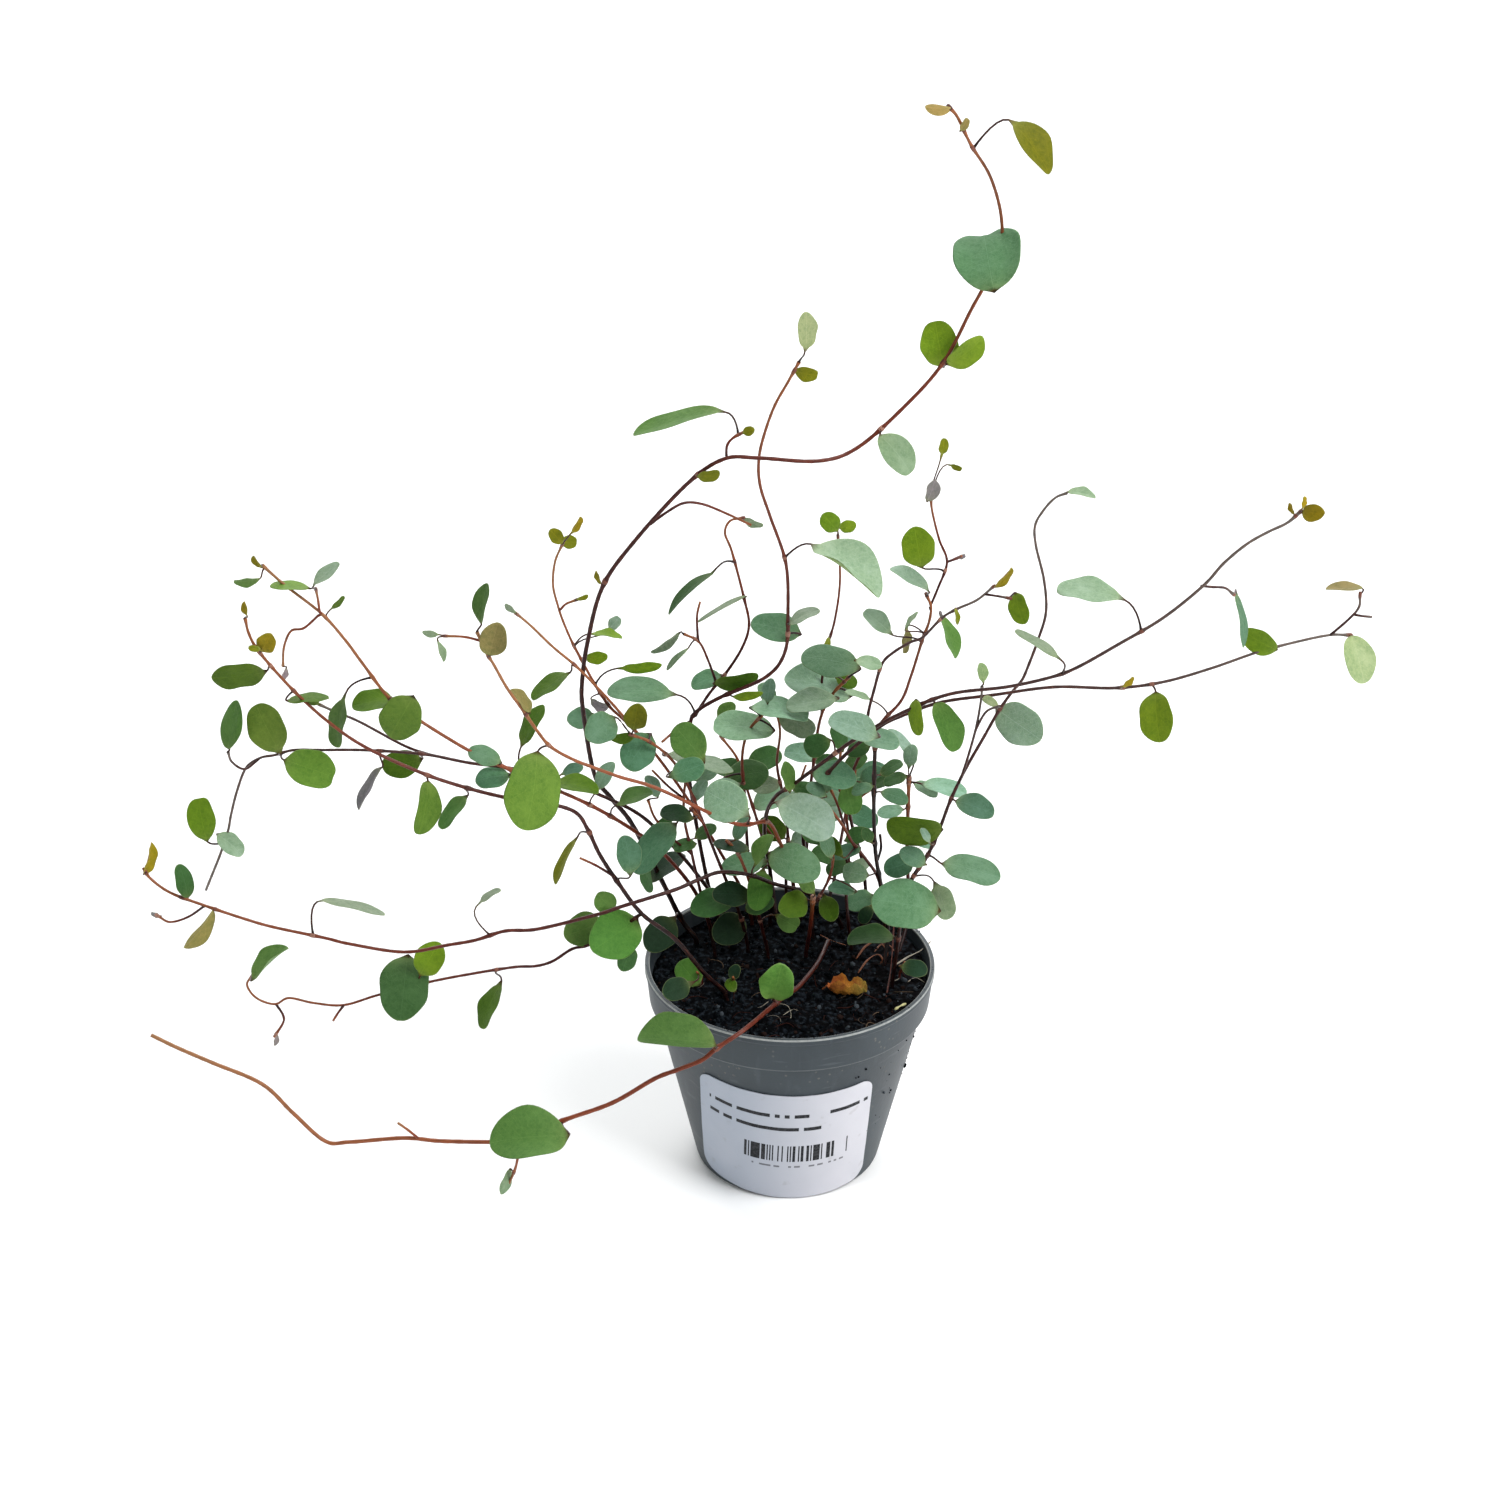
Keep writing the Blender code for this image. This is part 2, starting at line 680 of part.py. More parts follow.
def plant_all(plant):
    plant.add_vine("arching_stem", [
        ([(697, 945), (681, 919, -20), (662, 881, -18), (632, 824, -16), (611, 798, -15),
          (594, 773, -13), (583, 710, -10), (582, 683, -8), (587, 645, -7), (602, 588, -4),
          (633, 543, 0), (687, 484, 6), (724, 459, 10), (759, 458, 10), (818, 461, 8),
          (857, 448, 4), (904, 407, 0), (943, 363, -3), (971, 310, -5), (984, 286, -6),
          (1000, 250, -9), (1001, 215, -8), (990, 176, -6), (971, 145, -2), (958, 118, 0),
          (950, 108, 1)], 0.85, 0.44),
        ([(652, 526, 2), (667, 512, 0), (684, 503, -2), (702, 504, -4), (723, 512, -6),
          (751, 525, -8)], 0.44, 0.38),
        ([(726, 458, 10), (727, 446, 8), (733, 438, 7), (744, 432, 6)], 0.42, 0.38),
    ], [
        (988, 257, 62, 70, 100, 1, 5), (1031, 149, 62, 27, -55, 1, 2),
        (939, 343, 46, 38, 100, -1, -4), (966, 351, 44, 24, 37, -1, -3), (896, 455, 50, 30, -52, 1),
        (677, 425, 90, 15, 196, 1), (709, 474, 23, 12, 10, -1), (938, 107, 26, 11, 175, -1, 0),
        (964, 124, 14, 8, 60, -1), (599, 577, 14, 5, 110, -1), (749, 431, 12, 10, 20, -1),
        (667, 868, 45, 20, 35, 1), (648, 878, 30, 12, 280, -1), (660, 935, 40, 32, 230, 1),
    ])
    plant.add_vine("upright_stem", [
        ([(722, 930), (712, 900, -29), (703, 860, -28), (694, 810, -26), (688, 765, -24),
          (690, 728, -22), (695, 713, -21), (719, 698, -19), (755, 683, -16), (771, 673, -15),
          (781, 661, -14), (787, 643, -13), (788, 615, -12), (786, 564, -10), (770, 516, -7),
          (760, 485, -5), (759, 458, -4), (765, 432, -3), (775, 405, -2), (788, 382, -2),
          (799, 362, -1)], 0.72, 0.42),
        ([(694, 716, -21), (709, 694, -26), (726, 673, -29), (742, 648, -32), (749, 625, -34),
          (744, 598, -36), (732, 552, -38), (725, 533, -38), (730, 521, -38), (742, 518, -38)],
         0.5, 0.38),
        ([(716, 684, -27), (708, 660, -24), (699, 642, -22), (684, 634, -20)], 0.42, 0.38),
        ([(699, 642, -22), (697, 617, -21), (700, 602, -20)], 0.4, 0.36),
        ([(692, 722, -22), (675, 731, -17), (662, 742, -12)], 0.44, 0.4),
    ], [
        (805, 330, 36, 20, 90, 1), (807, 373, 24, 15, -10, -1), (848, 571, 82, 30, -37, 1),
        (775, 629, 50, 29, 168, 1), (805, 617, 33, 12, 25, 1), (690, 593, 61, 9, 223, 1),
        (722, 610, 54, 5, 209, 1), (665, 643, 34, 8, 215, -1), (677, 660, 29, 6, 226, 1),
        (753, 522, 22, 8, -20, -1), (737, 680, 44, 16, 10, -1), (706, 681, 32, 19, 200, 1),
        (639, 693, 64, 26, 178, 1), (748, 694, 30, 9, 8, -1),
    ])
    plant.add_vine("thin_shoots_left", [
        ([(752, 925), (742, 890, -28), (722, 855, -24), (695, 810, -16), (660, 760, -8),
          (628, 722, -3), (607, 698, 0), (578, 668, 1), (553, 647, 3), (530, 625, 5),
          (513, 611, 6)], 0.6, 0.38),
        ([(648, 746, -6), (626, 722, -13), (610, 707, -16), (597, 688, -18), (581, 659, -18),
          (572, 642, -18), (563, 621, -17), (558, 606, -17), (553, 585, -16), (555, 562, -15),
          (562, 545, -15)], 0.46, 0.36),
        ([(560, 612, -17), (566, 604, -16), (576, 600, -16)], 0.4, 0.36),
    ], [
        (556, 536, 18, 14, 130, -1), (569, 542, 16, 14, 0, -1), (576, 524, 18, 7, 60, -1),
        (550, 687, 44, 16, 215, 1), (510, 608, 14, 6, 140, -1), (597, 657, 22, 13, 5, -1),
        (608, 636, 29, 8, 352, 1), (615, 623, 16, 12, 50, 1), (642, 666, 40, 11, 5, -1),
        (580, 718, 26, 22, 190, 1), (583, 597, 12, 5, 20, -1), (600, 704, 19, 10, 332, -1),
    ])
    plant.add_vine("left_upper_stem", [
        ([(712, 935), (694, 890, -14), (662, 852, -6), (630, 828, 0), (590, 805, 8),
          (545, 785, 15), (500, 765, 19), (468, 750, 21), (422, 722, 23), (391, 700, 24),
          (363, 664, 25), (346, 641, 26), (322, 614, 26), (286, 586, 26), (262, 565, 26)],
         0.7, 0.42),
        ([(321, 615, 26), (304, 628, 24), (291, 631, 22), (284, 647, 21), (283, 666, 20)],
         0.4, 0.36),
        ([(321, 612, 26), (318, 600, 28), (316, 590, 30)], 0.4, 0.36),
    ], [
        (246, 580, 25, 9, 185, -1), (289, 588, 38, 10, 178, 1), (328, 574, 34, 12, 40, 1),
        (338, 602, 18, 6, 45, -1), (257, 561, 14, 6, 125, -1), (372, 703, 42, 22, 190, 1),
        (341, 723, 50, 17, 262, 1), (401, 718, 46, 42, 240, -1, 4), (484, 756, 34, 20, 160, 1),
        (492, 778, 34, 22, 190, 1), (578, 787, 44, 18, 350, 1), (573, 770, 22, 12, 20, 1),
        (636, 798, 36, 16, 20, 1), (284, 674, 12, 6, 250, -1), (606, 775, 30, 16, 60, 1),
    ])
    plant.add_vine("left_middle_stem", [
        ([(726, 998), (703, 972, 15), (675, 939, 17), (642, 914, 18), (619, 884, 19),
          (600, 855, 20), (588, 830, 21), (575, 812, 23), (545, 803, 25), (503, 797, 27),
          (457, 785, 29), (417, 771, 31), (367, 748, 33), (331, 724, 35), (294, 691, 36),
          (260, 653, 37), (249, 634, 37), (245, 618, 37)], 0.75, 0.42),
        ([(642, 914, 18), (615, 932, 15), (589, 945, 16), (572, 949, 17), (553, 961, 19),
          (536, 966, 20), (515, 967, 21), (476, 973, 23), (429, 982, 25), (378, 995, 27),
          (344, 1005, 28), (314, 1003, 28), (289, 998, 28), (276, 1004, 28), (262, 1001, 28),
          (252, 994, 28), (247, 984, 28), (252, 976, 28)], 0.5, 0.36),
        ([(276, 1003, 28), (283, 1015, 29), (283, 1023, 30), (274, 1037, 31)], 0.4, 0.36),
        ([(344, 1005, 28), (338, 1013, 30), (333, 1021, 31)], 0.4, 0.36),
        ([(613, 876, 19), (597, 866, 22), (580, 858, 24)], 0.44, 0.38),
    ], [
        (267, 642, 20, 20, 60, -1), (238, 674, 53, 25, 186, -1), (254, 648, 12, 7, 170, -1),
        (309, 699, 42, 10, 5, 1), (423, 808, 54, 25, 260, -1), (454, 814, 40, 16, 232, 1),
        (627, 854, 38, 25, 100, 1), (566, 863, 48, 9, 246, 1), (615, 935, 54, 50, 215, 1, 5),
        (582, 930, 40, 34, 200, 1, -4), (605, 902, 24, 22, 130, -1, 3), (627, 959, 26, 20, 250, 1),
        (246, 608, 14, 6, 100, -1), (404, 988, 64, 50, 264, 1, 4), (430, 958, 36, 30, 60, -1),
        (491, 1007, 47, 18, 247, 1), (271, 963, 46, 14, 43, 1), (275, 1040, 12, 5, 260, -1),
    ])
    plant.add_vine("left_dark_stem", [
        ([(735, 940), (722, 910, -20), (700, 878, -17), (672, 845, -11), (640, 815, -5),
          (600, 795, 2), (555, 778, 9), (510, 768, 13), (470, 763, 14), (430, 755, 15),
          (400, 752, 16), (360, 750, 17), (321, 750, 17), (294, 750, 18), (275, 755, 18),
          (260, 758, 18), (246, 768, 18), (237, 791, 18), (231, 815, 18), (228, 831, 17),
          (220, 855, 17), (212, 875, 16), (206, 890, 15)], 0.7, 0.4),
        ([(432, 755, 15), (405, 746, 12), (360, 722, 11), (336, 712, 11), (316, 703, 11)],
         0.44, 0.4),
        ([(262, 758, 18), (245, 769, 22), (232, 762, 24), (228, 752, 25)], 0.38, 0.36),
    ], [
        (268, 727, 52, 37, 116, -1), (234, 725, 50, 20, 80, 1), (311, 770, 53, 38, 340, 1),
        (203, 818, 44, 28, 100, -1), (230, 845, 32, 20, 320, 1), (401, 763, 39, 28, 190, -1),
        (371, 790, 47, 9, 242, 1), (533, 724, 44, 17, 62, 1), (312, 700, 16, 8, 150, -1),
    ])
    plant.add_vine("left_long_stem", [
        ([(842, 932), (830, 908, -20), (805, 892, -13), (775, 884, -5), (750, 875, 4),
          (721, 872, 12), (700, 879, 16), (677, 889, 20), (649, 898, 24), (620, 907, 27),
          (599, 914, 29), (538, 929, 33), (505, 931, 34), (476, 940, 35), (448, 945, 36),
          (404, 952, 37), (350, 944, 38), (325, 938, 38), (273, 927, 38), (245, 919, 38),
          (206, 906, 37), (171, 893, 36), (151, 879, 35), (143, 868, 35)], 0.7, 0.42),
        ([(205, 905, 37), (188, 917, 35), (170, 922, 34), (158, 916, 34)], 0.38, 0.36),
    ], [
        (147, 858, 33, 9, 76, -1), (183, 881, 35, 18, 105, 1), (198, 929, 48, 14, 232, -1),
        (354, 909, 66, 9, -13, 1), (491, 896, 24, 7, 32, 1), (156, 914, 10, 5, 160, -1),
        (764, 849, 34, 16, 60, 1),
    ])
    plant.add_vine("over_rim_stem", [
        ([(829, 945), (822, 955, -9), (815, 967, 2), (798, 987, 17), (780, 1000, 27),
          (745, 1029, 45), (717, 1048, 50), (702, 1060, 52), (677, 1070, 53), (654, 1079, 54),
          (612, 1103, 55), (562, 1121, 54), (520, 1141, 52), (491, 1142, 50), (440, 1141, 47),
          (404, 1138, 45), (350, 1142, 42), (325, 1141, 41), (293, 1113, 40), (262, 1084, 39),
          (213, 1063, 37), (178, 1048, 36), (151, 1035, 35)], 0.75, 0.6),
        ([(418, 1139, 46), (408, 1130, 47), (398, 1123, 48)], 0.44, 0.4),
        ([(520, 1143, 52), (516, 1166, 50), (507, 1188, 48)], 0.44, 0.4),
    ], [
        (528, 1139, 77, 52, 185, 1, 6), (676, 1043, 78, 34, 176, 1, 3), (778, 980, 36, 36, 75, -1),
        (505, 1182, 26, 10, 250, -1),
    ])
    plant.add_vine("left_tan_stem", [
        ([(790, 932), (794, 900, -22), (792, 876, -14), (786, 858, -4), (778, 838, 8),
          (768, 822, 15), (751, 824, 19), (737, 824, 21), (718, 817, 23), (699, 808, 25),
          (668, 793, 27), (645, 784, 28), (620, 777, 30), (595, 768, 32), (572, 759, 34),
          (551, 747, 36), (538, 732, 37), (522, 709, 38), (507, 688, 39), (494, 665, 40),
          (486, 652, 41), (477, 632, 41)], 0.7, 0.42),
        ([(482, 644, 41), (465, 637, 40), (446, 636, 39)], 0.4, 0.36),
    ], [
        (532, 792, 78, 56, 262, -1, 5), (520, 701, 30, 12, 130, 1), (494, 638, 34, 28, 75, -1),
        (485, 603, 41, 14, 81, 1), (430, 633, 16, 7, 170, -1), (441, 652, 21, 7, 287, 1),
        (726, 802, 46, 42, 150, 1), (806, 819, 62, 42, 330, 1, 6), (795, 864, 54, 38, 340, 1, 6),
        (742, 866, 42, 24, 190, 1), (759, 891, 40, 26, 260, -1),
    ])
    plant.add_vine("right_upper_stem", [
        ([(770, 925), (772, 900, -27), (770, 870, -22), (765, 840, -15), (766, 815, -8),
          (776, 796, -3), (794, 784, 1), (822, 763, 7), (860, 736, 12), (904, 712, 16),
          (950, 694, 20), (1006, 687, 24), (1048, 678, 28), (1076, 668, 30), (1119, 644, 33),
          (1163, 618, 35), (1203, 586, 37), (1224, 563, 37), (1247, 544, 38), (1268, 532, 38),
          (1287, 523, 39), (1300, 512, 39)], 0.7, 0.42),
        ([(1200, 589, 37), (1212, 587, 35), (1225, 588, 33), (1233, 594, 32)], 0.4, 0.36),
    ], [
        (1314, 513, 22, 18, 0, -1), (1292, 508, 12, 5, 110, -1), (1303, 502, 12, 5, 80, -1),
        (1088, 594, 63, 24, 172, 1), (1036, 644, 50, 10, 148, 1), (1240, 621, 54, 8, 278, 1),
        (852, 728, 50, 28, 160, 1), (817, 745, 27, 24, 200, -1), (945, 728, 54, 26, 292, 1),
        (917, 718, 36, 15, 276, -1), (787, 776, 30, 14, 100, 1),
    ])
    plant.add_vine("right_lower_stem", [
        ([(812, 937), (812, 910, -25), (808, 870, -21), (803, 830, -16), (812, 795, -11),
          (840, 760, -5), (878, 728, 1), (904, 715, 5), (942, 702, 9), (993, 695, 12),
          (1054, 687, 15), (1115, 688, 17), (1163, 682, 18), (1212, 668, 19), (1258, 652, 20),
          (1300, 641, 20), (1330, 635, 20), (1348, 635, 20)], 0.7, 0.4),
        ([(865, 738, -1), (868, 715, -4), (874, 690, -5), (882, 664, -5), (894, 652, -5),
          (911, 642, -4), (923, 637, -3), (942, 618, -2), (957, 609, -2), (977, 600, -1),
          (993, 587, 0)], 0.5, 0.38),
        ([(1332, 635, 20), (1350, 618, 21), (1359, 607, 21), (1360, 596, 21)], 0.4, 0.36),
        ([(1352, 617, 21), (1362, 616, 22), (1372, 617, 22)], 0.38, 0.36),
        ([(985, 595, -1), (997, 596, 1), (1008, 598, 2)], 0.38, 0.36),
    ], [
        (1357, 660, 50, 30, 285, 1), (1344, 590, 36, 9, 182, 1), (1158, 718, 50, 34, 275, -1),
        (1002, 577, 27, 7, 47, -1), (1020, 609, 32, 20, 285, -1), (948, 638, 44, 14, 289, 1),
        (956, 617, 16, 5, 276, 1), (835, 777, 44, 28, 350, 1), (1128, 681, 14, 6, 40, -1),
        (850, 800, 30, 24, 285, -1), (869, 664, 26, 14, 347, 1), (1260, 640, 38, 24, 150, -1),
    ])
    plant.add_vine("right_hook_stem", [
        ([(892, 988), (897, 950, 8), (903, 905, 9), (912, 879, 9), (926, 858, 9),
          (937, 836, 9), (943, 820, 9), (951, 799, 8), (965, 770, 6), (985, 735, 4),
          (998, 712, 2), (1012, 692, 1), (1022, 680, 0), (1029, 664, 0), (1038, 640, -1),
          (1046, 612, -2), (1044, 580, -3), (1036, 546, -4), (1035, 526, -4), (1043, 511, -4),
          (1055, 498, -4), (1067, 493, -4)], 0.62, 0.38),
        ([(958, 786, 7), (967, 760, 12), (976, 728, 15), (981, 700, 15), (982, 686, 15)],
         0.42, 0.36),
        ([(976, 730, 15), (986, 712, 17), (1000, 706, 18)], 0.4, 0.36),
    ], [
        (1082, 495, 28, 9, -12, 1), (1020, 725, 52, 40, 325, 1), (982, 672, 19, 11, 98, 1),
        (990, 702, 18, 9, 150, 1), (975, 808, 40, 24, 340, 1), (914, 827, 56, 30, 175, -1),
        (912, 857, 28, 20, 150, 1), (898, 866, 30, 24, 200, 1), (972, 872, 58, 28, 345, 1),
        (904, 905, 66, 50, 170, 1, 7), (942, 903, 36, 24, 290, 1, -3), (870, 940, 46, 20, 185, 1),
        (925, 835, 16, 8, 120, 1),
    ])
    plant.add_vine("upright_right_stem", [
        ([(861, 933), (866, 900, -28), (862, 860, -26), (852, 825, -22), (848, 790, -18),
          (860, 755, -15), (880, 724, -13), (901, 701, -12), (911, 676, -12), (918, 654, -12),
          (923, 638, -12), (929, 622, -12), (931, 607, -12), (927, 596, -12)], 0.62, 0.42),
        ([(928, 612, -12), (938, 588, -15), (947, 562, -17), (939, 539, -18), (932, 510, -18),
          (931, 494, -18)], 0.4, 0.36),
        ([(947, 563, -17), (955, 559, -18), (962, 556, -19)], 0.38, 0.36),
    ], [
        (908, 580, 43, 14, 151, 1), (918, 546, 40, 34, 100, -1), (931, 490, 22, 14, 70, -1),
        (876, 622, 34, 18, 140, 1), (905, 641, 25, 9, 263, -1), (962, 556, 8, 5, 20, -1),
        (943, 446, 16, 10, 80, -1), (857, 696, 26, 7, 163, 1), (872, 775, 26, 16, 30, 1),
        (957, 467, 12, 6, 340, -1), (912, 620, 20, 5, 52, 1),
    ])
    plant.add_vine("vertical_stem", [
        ([(884, 970), (888, 930, -9), (882, 890, -9), (876, 857, -9), (874, 820, -9),
          (874, 785, -9), (875, 748, -9)], 0.66, 0.6),
        ([(877, 862, -9), (881, 848, -12), (880, 834, -14)], 0.44, 0.42),
    ], [
        (881, 742, 37, 21, 350, 1), (858, 750, 24, 16, 200, 1), (867, 835, 16, 12, 120, 1),
        (892, 768, 26, 13, 30, 1), (862, 790, 22, 12, 200, 1), (855, 873, 26, 22, 170, 1),
        (895, 797, 28, 16, 340, 1),
    ])
    plant.add_vine("short_right_stem", [
        ([(899, 957), (907, 920, -20), (908, 880, -22), (907, 845, -22), (908, 811, -22),
          (909, 779, -22)], 0.62, 0.6),
    ], [
        (911, 755, 22, 15, 80, 1), (900, 744, 38, 11, 130, 1), (895, 780, 24, 13, 200, 1),
        (926, 790, 26, 13, 330, 1), (890, 812, 26, 14, 190, 1), (924, 842, 22, 14, 340, 1),
        (946, 790, 46, 17, -14, 1),
    ])
    plant.add_vine("leaning_stem", [
        ([(884, 940), (884, 908, -21), (878, 878, -18), (865, 858, -14), (852, 842, -11),
          (843, 826, -9), (830, 809, -7), (820, 799, -6)], 0.62, 0.44),
        ([(845, 828, -9), (838, 806, -13), (831, 790, -16)], 0.42, 0.38),
    ], [
        (816, 790, 22, 14, 150, 1), (828, 782, 20, 12, 80, 1), (846, 853, 30, 15, 200, 1),
        (859, 901, 28, 22, 200, 1), (866, 915, 20, 14, 240, 1), (836, 846, 22, 12, 120, -1),
    ])
    plant.add_vine("middle_back_stem", [
        ([(755, 919), (750, 880, -38), (747, 840, -37), (745, 800, -35), (742, 760, -33),
          (748, 732, -32), (765, 712, -32)], 0.62, 0.44),
    ], [
        (742, 729, 62, 30, 175, 1), (747, 775, 45, 30, 10, 1), (781, 713, 60, 21, 350, 1),
        (798, 722, 40, 24, 330, -1), (722, 790, 36, 18, 200, 1), (770, 690, 24, 14, 80, 1),
        (733, 815, 30, 16, 200, 1),
    ])
    plant.add_vine("middle_right_stem", [
        ([(800, 921), (804, 880, -38), (807, 840, -39), (809, 800, -39), (814, 760, -38),
          (820, 720, -36), (832, 695, -34), (848, 678, -32)], 0.66, 0.44),
        ([(822, 714, -36), (822, 680, -39), (828, 645, -41), (835, 619, -41), (840, 581, -41),
          (838, 537, -41)], 0.42, 0.36),
    ], [
        (829, 662, 58, 32, 170, 1), (817, 687, 68, 36, 165, 1), (811, 704, 50, 24, 190, 1),
        (847, 681, 22, 16, 340, 1), (830, 522, 22, 20, 130, -1), (848, 526, 17, 13, 10, -1),
        (826, 645, 16, 7, 250, -1), (800, 755, 34, 20, 170, 1), (830, 815, 28, 18, 20, 1),
        (790, 800, 30, 16, 190, 1),
    ])
    plant.add_vine("middle_left_stem", [
        ([(748, 952), (740, 915, -12), (722, 870, -8), (706, 830, -6), (690, 790, -4),
          (672, 760, -1), (650, 742, 2), (632, 735, 4)], 0.62, 0.42),
        ([(712, 845, -7), (704, 825, -1), (690, 808, 3)], 0.42, 0.38),
    ], [
        (689, 742, 42, 34, 130, 1), (700, 765, 68, 15, -14, 1), (689, 770, 34, 25, 20, 1),
        (638, 752, 42, 34, 235, 1), (636, 716, 26, 24, 80, -1), (655, 850, 62, 31, 231, 1),
        (600, 729, 34, 32, 220, 1), (622, 737, 24, 11, 185, -1), (712, 904, 45, 28, 195, 1),
        (728, 930, 36, 32, 215, 1), (676, 815, 34, 18, 170, 1), (700, 790, 24, 14, 60, 1),
    ])
    plant.add_vine("low_middle_stem", [
        ([(768, 958), (762, 928, -9), (754, 898, -6), (746, 872, -5), (737, 852, -5),
          (726, 840, -5)], 0.6, 0.44),
    ], [
        (731, 847, 36, 13, 170, 1, -5), (731, 895, 38, 25, 175, 1, -4), (788, 922, 24, 20, 330, -1),
        (742, 828, 26, 14, 60, 1), (760, 905, 30, 20, 20, 1),
    ])
    plant.add_vine("crown_stem", [
        ([(806, 957), (810, 930, -8), (813, 898, -3)], 0.66, 0.6),
        ([(812, 905, -5), (826, 885, -6), (832, 868, -8), (833, 852, -9)], 0.44, 0.4),
    ], [
        (793, 905, 30, 28, 200, 1), (829, 909, 26, 20, 290, 1), (841, 890, 27, 14, 170, 1),
        (826, 845, 26, 15, 110, 1), (806, 884, 22, 15, 130, 1),
    ])
    plant.add_vine("back_left_stem", [
        ([(776, 918), (770, 870, -48), (760, 830, -55), (748, 792, -60), (738, 760, -62),
          (722, 738, -63)], 0.62, 0.42),
    ], [
        (727, 711, 22, 15, 40, 1), (772, 800, 38, 24, 20, 1), (765, 760, 36, 24, 20, 1),
        (728, 770, 32, 20, 170, 1),
    ])
    plant.add_vine("back_right_stem", [
        ([(824, 919), (834, 880, -41), (842, 834, -50), (850, 795, -60), (858, 760, -64),
          (868, 735, -66)], 0.62, 0.42),
    ], [
        (848, 735, 38, 24, 160, 1), (872, 775, 36, 24, 10, 1), (832, 790, 34, 22, 190, 1),
        (862, 818, 34, 22, 340, 1), (826, 855, 30, 20, 170, 1),
    ])
    plant.add_vine("sprout_left", [
        ([(702, 984), (697, 972, 9)], 0.44, 0.4),
    ], [
        (689, 973, 30, 27, 130, 1, 1), (676, 989, 28, 24, 200, 1, -1),
    ])
    plant.add_vine("sprout_middle", [
        ([(734, 988), (733, 977, 12)], 0.42, 0.38),
    ], [
        (731, 985, 14, 12, 120, 1, 1), (735, 972, 16, 12, 70, 1, -1),
    ])
    plant.add_vine("sprout_right", [
        ([(899, 980), (905, 962, 4)], 0.44, 0.4),
    ], [
        (915, 969, 26, 18, 350, 1, 1),
    ])
    plant.add_vine("inner_left_stem", [
        ([(715, 957), (709, 925, -13), (700, 890, -10), (691, 850, -9), (684, 815, -10),
          (686, 780, -12), (698, 752, -14)], 0.6, 0.4),
        ([(692, 855, -9), (672, 838, -6), (655, 818, -4), (648, 800, -3)], 0.42, 0.38),
        ([(686, 800, -11), (668, 786, -14), (652, 770, -16)], 0.42, 0.38),
    ], [
        (706, 776, 24, 14, 20, 1), (652, 786, 24, 14, 120, 1), (664, 828, 24, 15, 60, 1),
        (706, 832, 24, 14, 30, 1), (684, 846, 24, 14, 190, 1),
    ])
    plant.add_vine("inner_right_stem", [
        ([(851, 950), (848, 920, -12), (846, 885, -15), (849, 850, -20), (846, 815, -24),
          (838, 780, -27), (841, 750, -29)], 0.6, 0.4),
        ([(848, 862, -18), (836, 842, -14), (822, 832, -12)], 0.42, 0.38),
        ([(846, 818, -24), (858, 800, -28), (870, 790, -30)], 0.42, 0.38),
    ], [
        (838, 738, 26, 16, 110, 1), (828, 764, 26, 16, 170, 1), (856, 762, 26, 16, 30, 1),
        (858, 788, 24, 16, 60, 1), (832, 800, 26, 16, 180, 1), (858, 836, 26, 17, 20, 1),
        (814, 838, 26, 15, 160, 1), (838, 868, 26, 16, 200, 1), (882, 782, 24, 14, 20, 1),
        (860, 868, 22, 14, 30, 1),
    ])
    plant.add_vine("inner_back_stem", [
        ([(788, 921), (786, 880, -33), (788, 840, -38), (784, 800, -41), (777, 765, -43),
          (780, 730, -44), (773, 702, -45)], 0.6, 0.4),
        ([(786, 805, -41), (798, 785, -44), (806, 765, -46)], 0.42, 0.38),
        ([(787, 850, -37), (772, 835, -34), (762, 822, -32)], 0.42, 0.38),
    ], [
        (766, 694, 26, 16, 120, 1), (766, 786, 28, 18, 190, 1), (806, 790, 26, 16, 350, 1),
        (804, 838, 26, 17, 20, 1), (772, 828, 30, 24, 140, -1), (768, 862, 24, 16, 180, 1),
    ])


def make_vines(plant):
    """Lay the leaves, then join each vine into one solid.

    The EXACT solver leaves open edges where thin petioles enter the stems, so these unions
    are made by MANIFOLD.
    """
    for name, leaves in plant.vines:
        plant.add_leaves(name, leaves)
    for name, _ in plant.vines:
        trunk, *others = [add_object(name, *solid, FOLIAGE) for solid in plant.solids[name]]
        boolean(trunk, "UNION", others, "MANIFOLD")


# Soil

